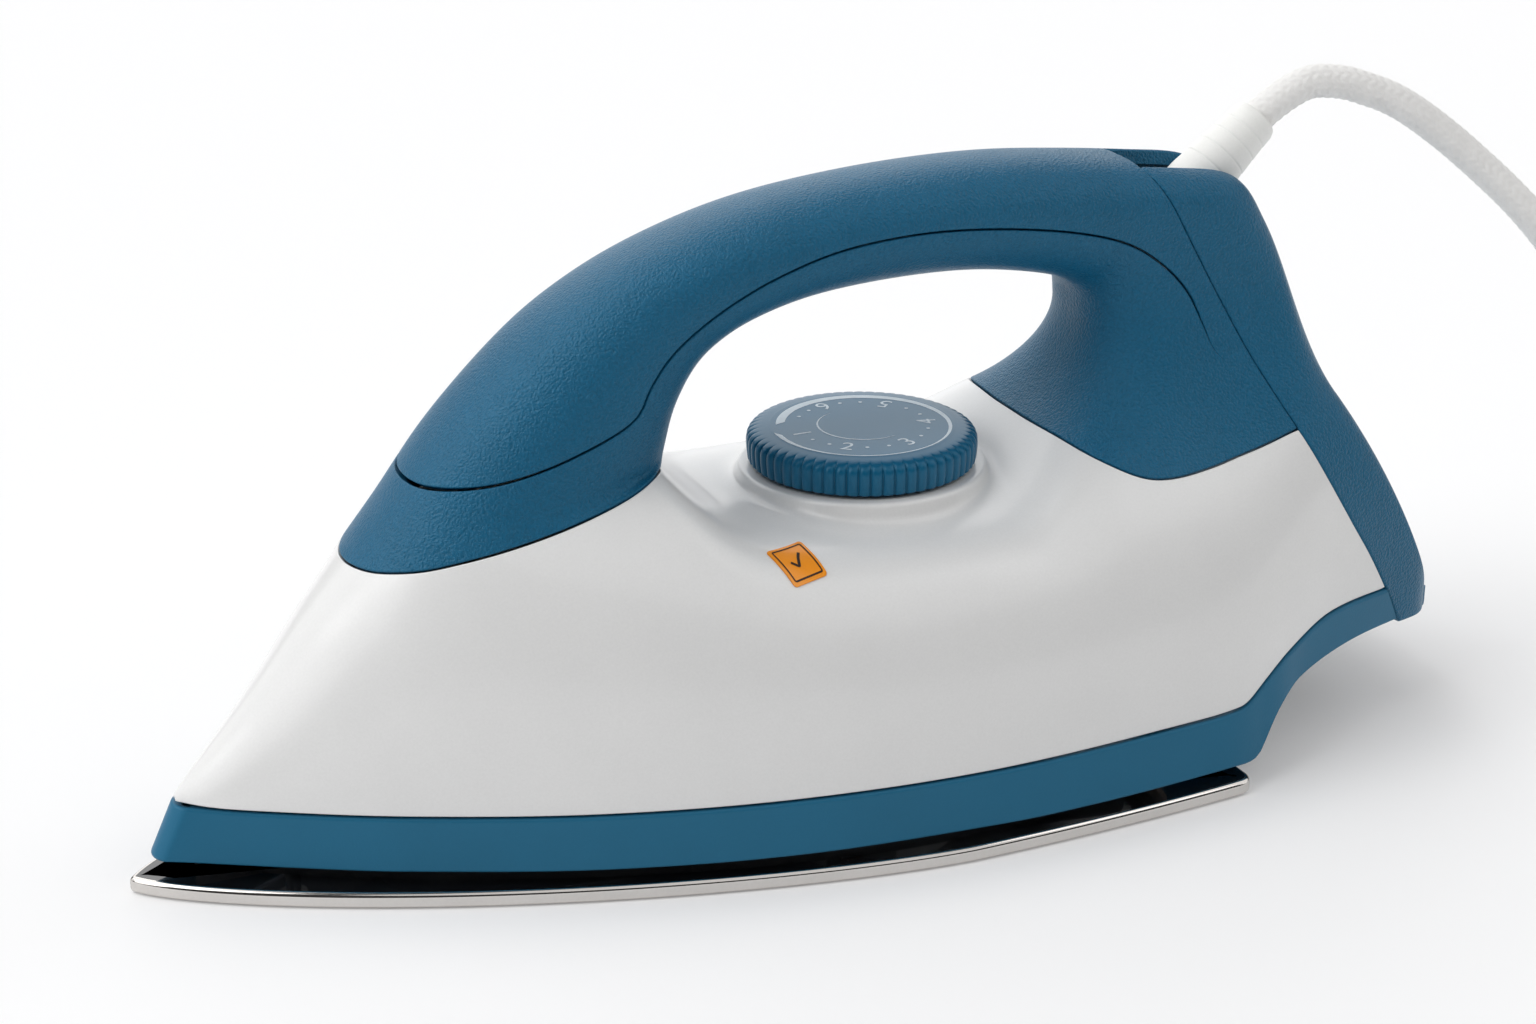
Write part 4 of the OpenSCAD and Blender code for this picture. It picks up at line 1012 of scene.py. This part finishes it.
def stroke(line, width, lift, closed=False):
    """Printed line of even width along flat drawing points."""
    line = np.array(line, float)
    if closed:
        tangent = np.roll(line, -1, 0) - np.roll(line, 1, 0)
    else:
        tangent = np.gradient(line, axis=0)
    side = unit(np.stack([-tangent[:, 1], tangent[:, 0]], 1)) * width / 2
    v = np.concatenate([on_body(line + side, lift), on_body(line - side, lift)])
    return v, facing(v, grid_faces(2, len(line), closed))


def label_print():
    border = stroke(rounded_square(3.7, 0.35), 0.34, PRINT_LIFT, True)
    tick = [(-1.7, 0.1), (-1.3, -0.35), (-0.55, -1.15), (0.1, -0.3), (0.8, 0.7), (1.75, 1.75)]
    return join([border, stroke(through(tick, 40), 0.62, PRINT_LIFT)])


# ---------------------------------------------------------------- materials


look = {}


def srgb(r, g, b):
    def lin(c):
        c /= 255
        return c / 12.92 if c <= 0.04045 else ((c + 0.055) / 1.055) ** 2.4
    return (lin(r), lin(g), lin(b), 1)


def finish(name, colour, rough=0.4, metal=0.0, grain=0.1, grain_size=0.35, mottle=0.04,
           mottle_size=18.0, coat=0.0, coat_rough=0.08, specular=0.5, brushed=None, sheen=0.0,
           wear=0.05, tint=(1, 1, 1, 1), pits=0.04):
    """Principled finish whose colour, roughness and relief all vary; sizes are in millimetres."""
    mat = bpy.data.materials.new(name)
    mat.use_nodes = True
    tree = mat.node_tree
    tree.nodes.clear()
    add, link = tree.nodes.new, tree.links.new
    out = add("ShaderNodeOutputMaterial")
    bsdf = add("ShaderNodeBsdfPrincipled")
    link(bsdf.outputs[0], out.inputs[0])
    coord = add("ShaderNodeTexCoord")
    place = add("ShaderNodeMapping")
    if brushed:
        place.inputs["Scale"].default_value = brushed
    link(coord.outputs["Object"], place.inputs[0])

    def noise(size, detail=4.0, source=place):
        node = add("ShaderNodeTexNoise")
        node.inputs["Scale"].default_value = 1 / (size * MM)
        node.inputs["Detail"].default_value = detail
        link(source.outputs[0] if source is place else coord.outputs["Object"], node.inputs["Vector"])
        return node
    broad = noise(mottle_size, 5, None)
    ramp = add("ShaderNodeValToRGB")
    low = [c * (1 - mottle) for c in colour[:3]]
    high = [min(c * (1 + mottle), 1) for c in colour[:3]]
    ramp.color_ramp.elements[0].position, ramp.color_ramp.elements[1].position = 0.3, 0.7
    ramp.color_ramp.elements[0].color = (*low, 1)
    ramp.color_ramp.elements[1].color = (*high, 1)
    link(broad.outputs[0], ramp.inputs[0])
    fine = noise(grain_size, 2)
    shade = add("ShaderNodeMath")
    shade.operation = "MULTIPLY_ADD"
    link(fine.outputs[0], shade.inputs[0])
    shade.inputs[1].default_value = 2 * pits
    shade.inputs[2].default_value = 1 - pits
    toned = add("ShaderNodeHueSaturation")
    link(ramp.outputs[0], toned.inputs["Color"])
    link(shade.outputs[0], toned.inputs["Value"])
    link(toned.outputs[0], bsdf.inputs["Base Color"])
    mixed = add("ShaderNodeMath")
    mixed.operation = "MULTIPLY_ADD"
    link(broad.outputs[0], mixed.inputs[0])
    mixed.inputs[1].default_value = wear
    mixed.inputs[2].default_value = rough - wear / 2
    link(mixed.outputs[0], bsdf.inputs["Roughness"])
    bump = add("ShaderNodeBump")
    bump.inputs["Strength"].default_value = 1.0
    bump.inputs["Distance"].default_value = grain * MM * 0.1
    link(fine.outputs[0], bump.inputs["Height"])
    link(bump.outputs[0], bsdf.inputs["Normal"])
    bsdf.inputs["Metallic"].default_value = metal
    bsdf.inputs["Specular IOR Level"].default_value = specular
    bsdf.inputs["Specular Tint"].default_value = tint
    bsdf.inputs["Coat Weight"].default_value = coat
    bsdf.inputs["Coat Roughness"].default_value = coat_rough
    bsdf.inputs["Sheen Weight"].default_value = sheen
    look[name] = mat


SKY = (0.5, 0.82, 1, 1)
BLUE = (0.0045, 0.1, 0.2, 1)
finish("polished_sole", srgb(214, 210, 206), 0.1, 1, 0.02, 0.6, 0.03, wear=0.06)
finish("cast_aluminium", srgb(165, 167, 168), 0.48, 1, 0.9, 0.9, 0.08, wear=0.15)
finish("element_sheath", srgb(120, 110, 102), 0.38, 1, 0.15, 0.5, 0.18, 9, wear=0.2)
finish("ceramic_bead", srgb(236, 230, 214), 0.6, 0, 0.3, 0.4, 0.04)
finish("shield_sheet", srgb(190, 192, 194), 0.34, 1, 0.08, 0.5, 0.05, brushed=(0.1, 1, 1), wear=0.12)
finish("blue_skirt", (0.013, 0.125, 0.23, 1), 0.46, 0, 0.3, 0.42, 0.03, wear=0.05, specular=0.4,
    tint=SKY)
finish("white_shell", (0.80, 0.80, 0.795, 1), 0.34, 0, 0.012, 0.5, 0.012, coat=0.5, coat_rough=0.14,
    wear=0.04)
finish("blue_handle", BLUE, 0.36, 0, 4.0, 0.55, 0.04, wear=0.06, tint=SKY, pits=0.3)
finish("blue_grip", BLUE, 0.36, 0, 4.0, 0.55, 0.04, wear=0.06, tint=SKY, pits=0.3)
finish("screw_steel", srgb(190, 190, 188), 0.3, 1, 0.1, 0.3, 0.06, 4, wear=0.1)
finish("orange_label", srgb(246, 150, 16), 0.35, 0, 0.03, 0.3, 0.03, 5, coat=0.3)
finish("label_ink", srgb(44, 26, 8), 0.45, 0, 0.03, 0.2, 0.06, 2)
finish("blue_dial", (0.003, 0.1, 0.2, 1), 0.32, 0, 0.12, 0.35, 0.04, wear=0.06, tint=SKY)
finish("dial_ink", srgb(214, 226, 234), 0.5, 0, 0.03, 0.2, 0.05, 2)
finish("spindle_steel", srgb(186, 186, 184), 0.28, 1, 0.1, 0.4, 0.05, brushed=(1, 1, 6))
finish("spring_steel", srgb(112, 112, 115), 0.34, 1, 0.1, 0.4, 0.1, 4)
finish("brass_bush", srgb(208, 172, 98), 0.3, 1, 0.1, 0.4, 0.06, brushed=(1, 1, 6))
finish("zinc_sheet", srgb(198, 198, 194), 0.4, 1, 0.12, 0.8, 0.07, 6, wear=0.15)
finish("bimetal", srgb(196, 166, 114), 0.36, 1, 0.08, 0.4, 0.08, 6, brushed=(0.15, 1, 1))
finish("contact_brass", srgb(208, 148, 88), 0.33, 1, 0.08, 0.4, 0.08, 5, brushed=(0.15, 1, 1))
finish("steatite", srgb(238, 233, 221), 0.62, 0, 0.3, 0.4, 0.03)
finish("fuse_sleeve", srgb(218, 212, 192), 0.8, 0, 1.2, 0.6, 0.08, 2, sheen=0.3)
finish("block_plastic", srgb(224, 219, 199), 0.5, 0, 0.2, 0.5, 0.03)
finish("live_sleeve", srgb(112, 70, 46), 0.5, 0, 0.15, 0.4, 0.06, 6)
finish("neutral_sleeve", srgb(48, 88, 158), 0.5, 0, 0.15, 0.4, 0.06, 6)
finish("earth_sleeve", srgb(116, 152, 42), 0.5, 0, 0.15, 0.4, 0.06, 6)
finish("switched_sleeve", srgb(82, 72, 68), 0.5, 0, 0.15, 0.4, 0.06, 6)
finish("bearing_plastic", srgb(217, 217, 212), 0.5, 0, 0.15, 0.5, 0.03)
finish("white_guard", srgb(240, 240, 237), 0.45, 0, 0.12, 0.45, 0.02, coat=0.1)
finish("braid", srgb(242, 241, 239), 0.85, 0, 0.9, 0.22, 0.03, 3, sheen=0.5, specular=0.2)
finish("pin_brass", srgb(206, 202, 190), 0.22, 1, 0.06, 0.4, 0.05, 4)
# near-black finish for the soleplate's top face: painted shade and painted reflection, standing in for
# the shadow under the skirt and the dark underside mirrored in the polished metal
finish("plate_top_painted_shade", srgb(16, 18, 21), 0.1, 0, 0.02, 0.6, 0.1, coat=0.8, coat_rough=0.03,
    specular=0.6)


def wear_slot(ob, slot, mat=None):
    ob.data.materials.clear()
    ob.data.materials.append(mat or look[slot])


# ---------------------------------------------------------------- build


def piece(name, data, slot, body, *nodes):
    ob = add_mesh(name, *data)
    wear_slot(ob, slot)
    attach(ob, body)
    if nodes:
        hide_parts(*nodes)
    return ob


slots = {part["node"]: part["material_slot"] for part in frame["record"]["subparts"]}
for name, ob in frame["nodes"].items():
    wear_slot(ob, slots[name])

piece("white_body", body_shell(), "white_shell", "iron", "body_shell")
hv, hf = surface(handle_rows(), True)
piece("handle", handle_base(hv, hf), "blue_handle", "iron", "handle_base")
piece("grip", grip_cover(hv, hf), "blue_grip", "iron", "grip_cover")
piece("tail_cover", rear_cover(hv, hf), "blue_handle", "iron", "rear_cover")
piece("skirt", base_skirt(), "blue_skirt", "iron", "base_skirt")
plate = piece("soleplate", sole_plate(), "polished_sole", "iron", "sole_plate")
# the top face of the plate gets the near-black finish: painted shadow and painted reflection, not a
# coating of the real plate
plate.data.materials.append(look["plate_top_painted_shade"])
for face in plate.data.polygons:
    if face.center.z > (PLATE - 0.01) * MM:
        face.material_index = 1
piece("knob", dial(), "blue_dial", "dial", "dial")
rings = add_mesh("knob_rings", *dial_rings())
wear_slot(rings, "blue_dial", look["dial_ink"])
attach(rings, "dial")
for number in dial_numbers():
    wear_slot(number, "blue_dial", look["dial_ink"])
    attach(number, "dial")
piece("guard", cord_guard(), "white_guard", "cord_guard", "cord_guard")
piece("guard_pins", trunnions(), "white_guard", "cord_guard")
piece("sticker", label_film(4.55, 0.75, FILM_LIFT, 0.26), "orange_label", "iron", "inspection_label")
ink = add_mesh("sticker_print", *label_print())
wear_slot(ink, "orange_label", look["label_ink"])
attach(ink, "iron")
path, along = even(through(cord_keys, 1200), 0.4)
tube_v, tube_f = braided(path, along)
tube_v, tube_f = capped(tube_v, tube_f, len(path), CORD_SIDES)
lead = add_mesh("braided_cord", tube_v, tube_f)
wear_slot(lead, "braid")
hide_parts("cord")
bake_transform(lead)
piece("plug", plug_body(), "white_guard", "iron", "plug_body")
piece("pins", plug_pins(), "pin_brass", "iron", "plug_pins")

# ---------------------------------------------------------------- studio

scene = bpy.context.scene
floor_mat = bpy.data.materials.new("floor_white")
floor_mat.use_nodes = True
tree = floor_mat.node_tree
shade = tree.nodes["Principled BSDF"]
shade.inputs["Base Color"].default_value = (0.8, 0.8, 0.805, 1)
shade.inputs["Roughness"].default_value = 0.9
shade.inputs["Specular IOR Level"].default_value = 0.1
shade.inputs["Emission Color"].default_value = (1, 0.995, 1, 1)
shade.inputs["Emission Strength"].default_value = 0.15
mesh = bpy.data.meshes.new("floor")
mesh.from_pydata([(-9, -9, 0), (9, -9, 0), (9, 9, 0), (-9, 9, 0)], [], [(0, 1, 2, 3)])
floor = bpy.data.objects.new("floor", mesh)
scene.collection.objects.link(floor)
floor.data.materials.append(floor_mat)
floor.location.z = -0.0002

world = bpy.data.worlds.new("studio")
scene.world = world
world.use_nodes = True
world.node_tree.nodes["Background"].inputs[0].default_value = (1, 1, 1, 1)
world.node_tree.nodes["Background"].inputs[1].default_value = 0.05


def soft_light(name, azimuth, height, strength, spread):
    """Wide even light from one direction; 1 lights a facing white surface to full white."""
    data = bpy.data.lights.new(name, "SUN")
    data.energy = strength * math.pi
    data.angle = math.radians(spread)
    ob = bpy.data.objects.new(name, data)
    scene.collection.objects.link(ob)
    a, e = math.radians(azimuth), math.radians(height)
    way = Vector((math.cos(a) * math.cos(e), math.sin(a) * math.cos(e), math.sin(e)))
    ob.rotation_mode = "QUATERNION"
    ob.rotation_quaternion = way.to_track_quat("Z", "Y")
    return ob


soft_light("left_high", 176, 50, 0.42, 50)
soft_light("left_low", 182, 24, 0.17, 40)
soft_light("back_high", 118, 52, 0.24, 50)
soft_light("back_low", 74, 22, 0.24, 50)
soft_light("side_low", 140, 22, 0.1, 36)
soft_light("right", 352, 34, 0.25, 60)
soft_light("front_high", 285, 56, 0.19, 60)

data = bpy.data.cameras.new("camera")
data.lens, data.sensor_width = 70.3, 36
data.clip_start, data.clip_end = 0.02, 40
camera = bpy.data.objects.new("camera", data)
scene.collection.objects.link(camera)
way = Vector((0.3775, 0.8509, -0.3655)).normalized()
camera.location = Vector((0.02417, 0, 0.0582)) - way * 0.61806
camera.rotation_mode = "QUATERNION"
camera.rotation_quaternion = way.to_track_quat("-Z", "Y")
scene.camera = camera
scene.view_settings.view_transform = "Standard"
scene.view_settings.look = "None"
scene.view_settings.exposure = 0.0
scene.view_settings.gamma = 1.0
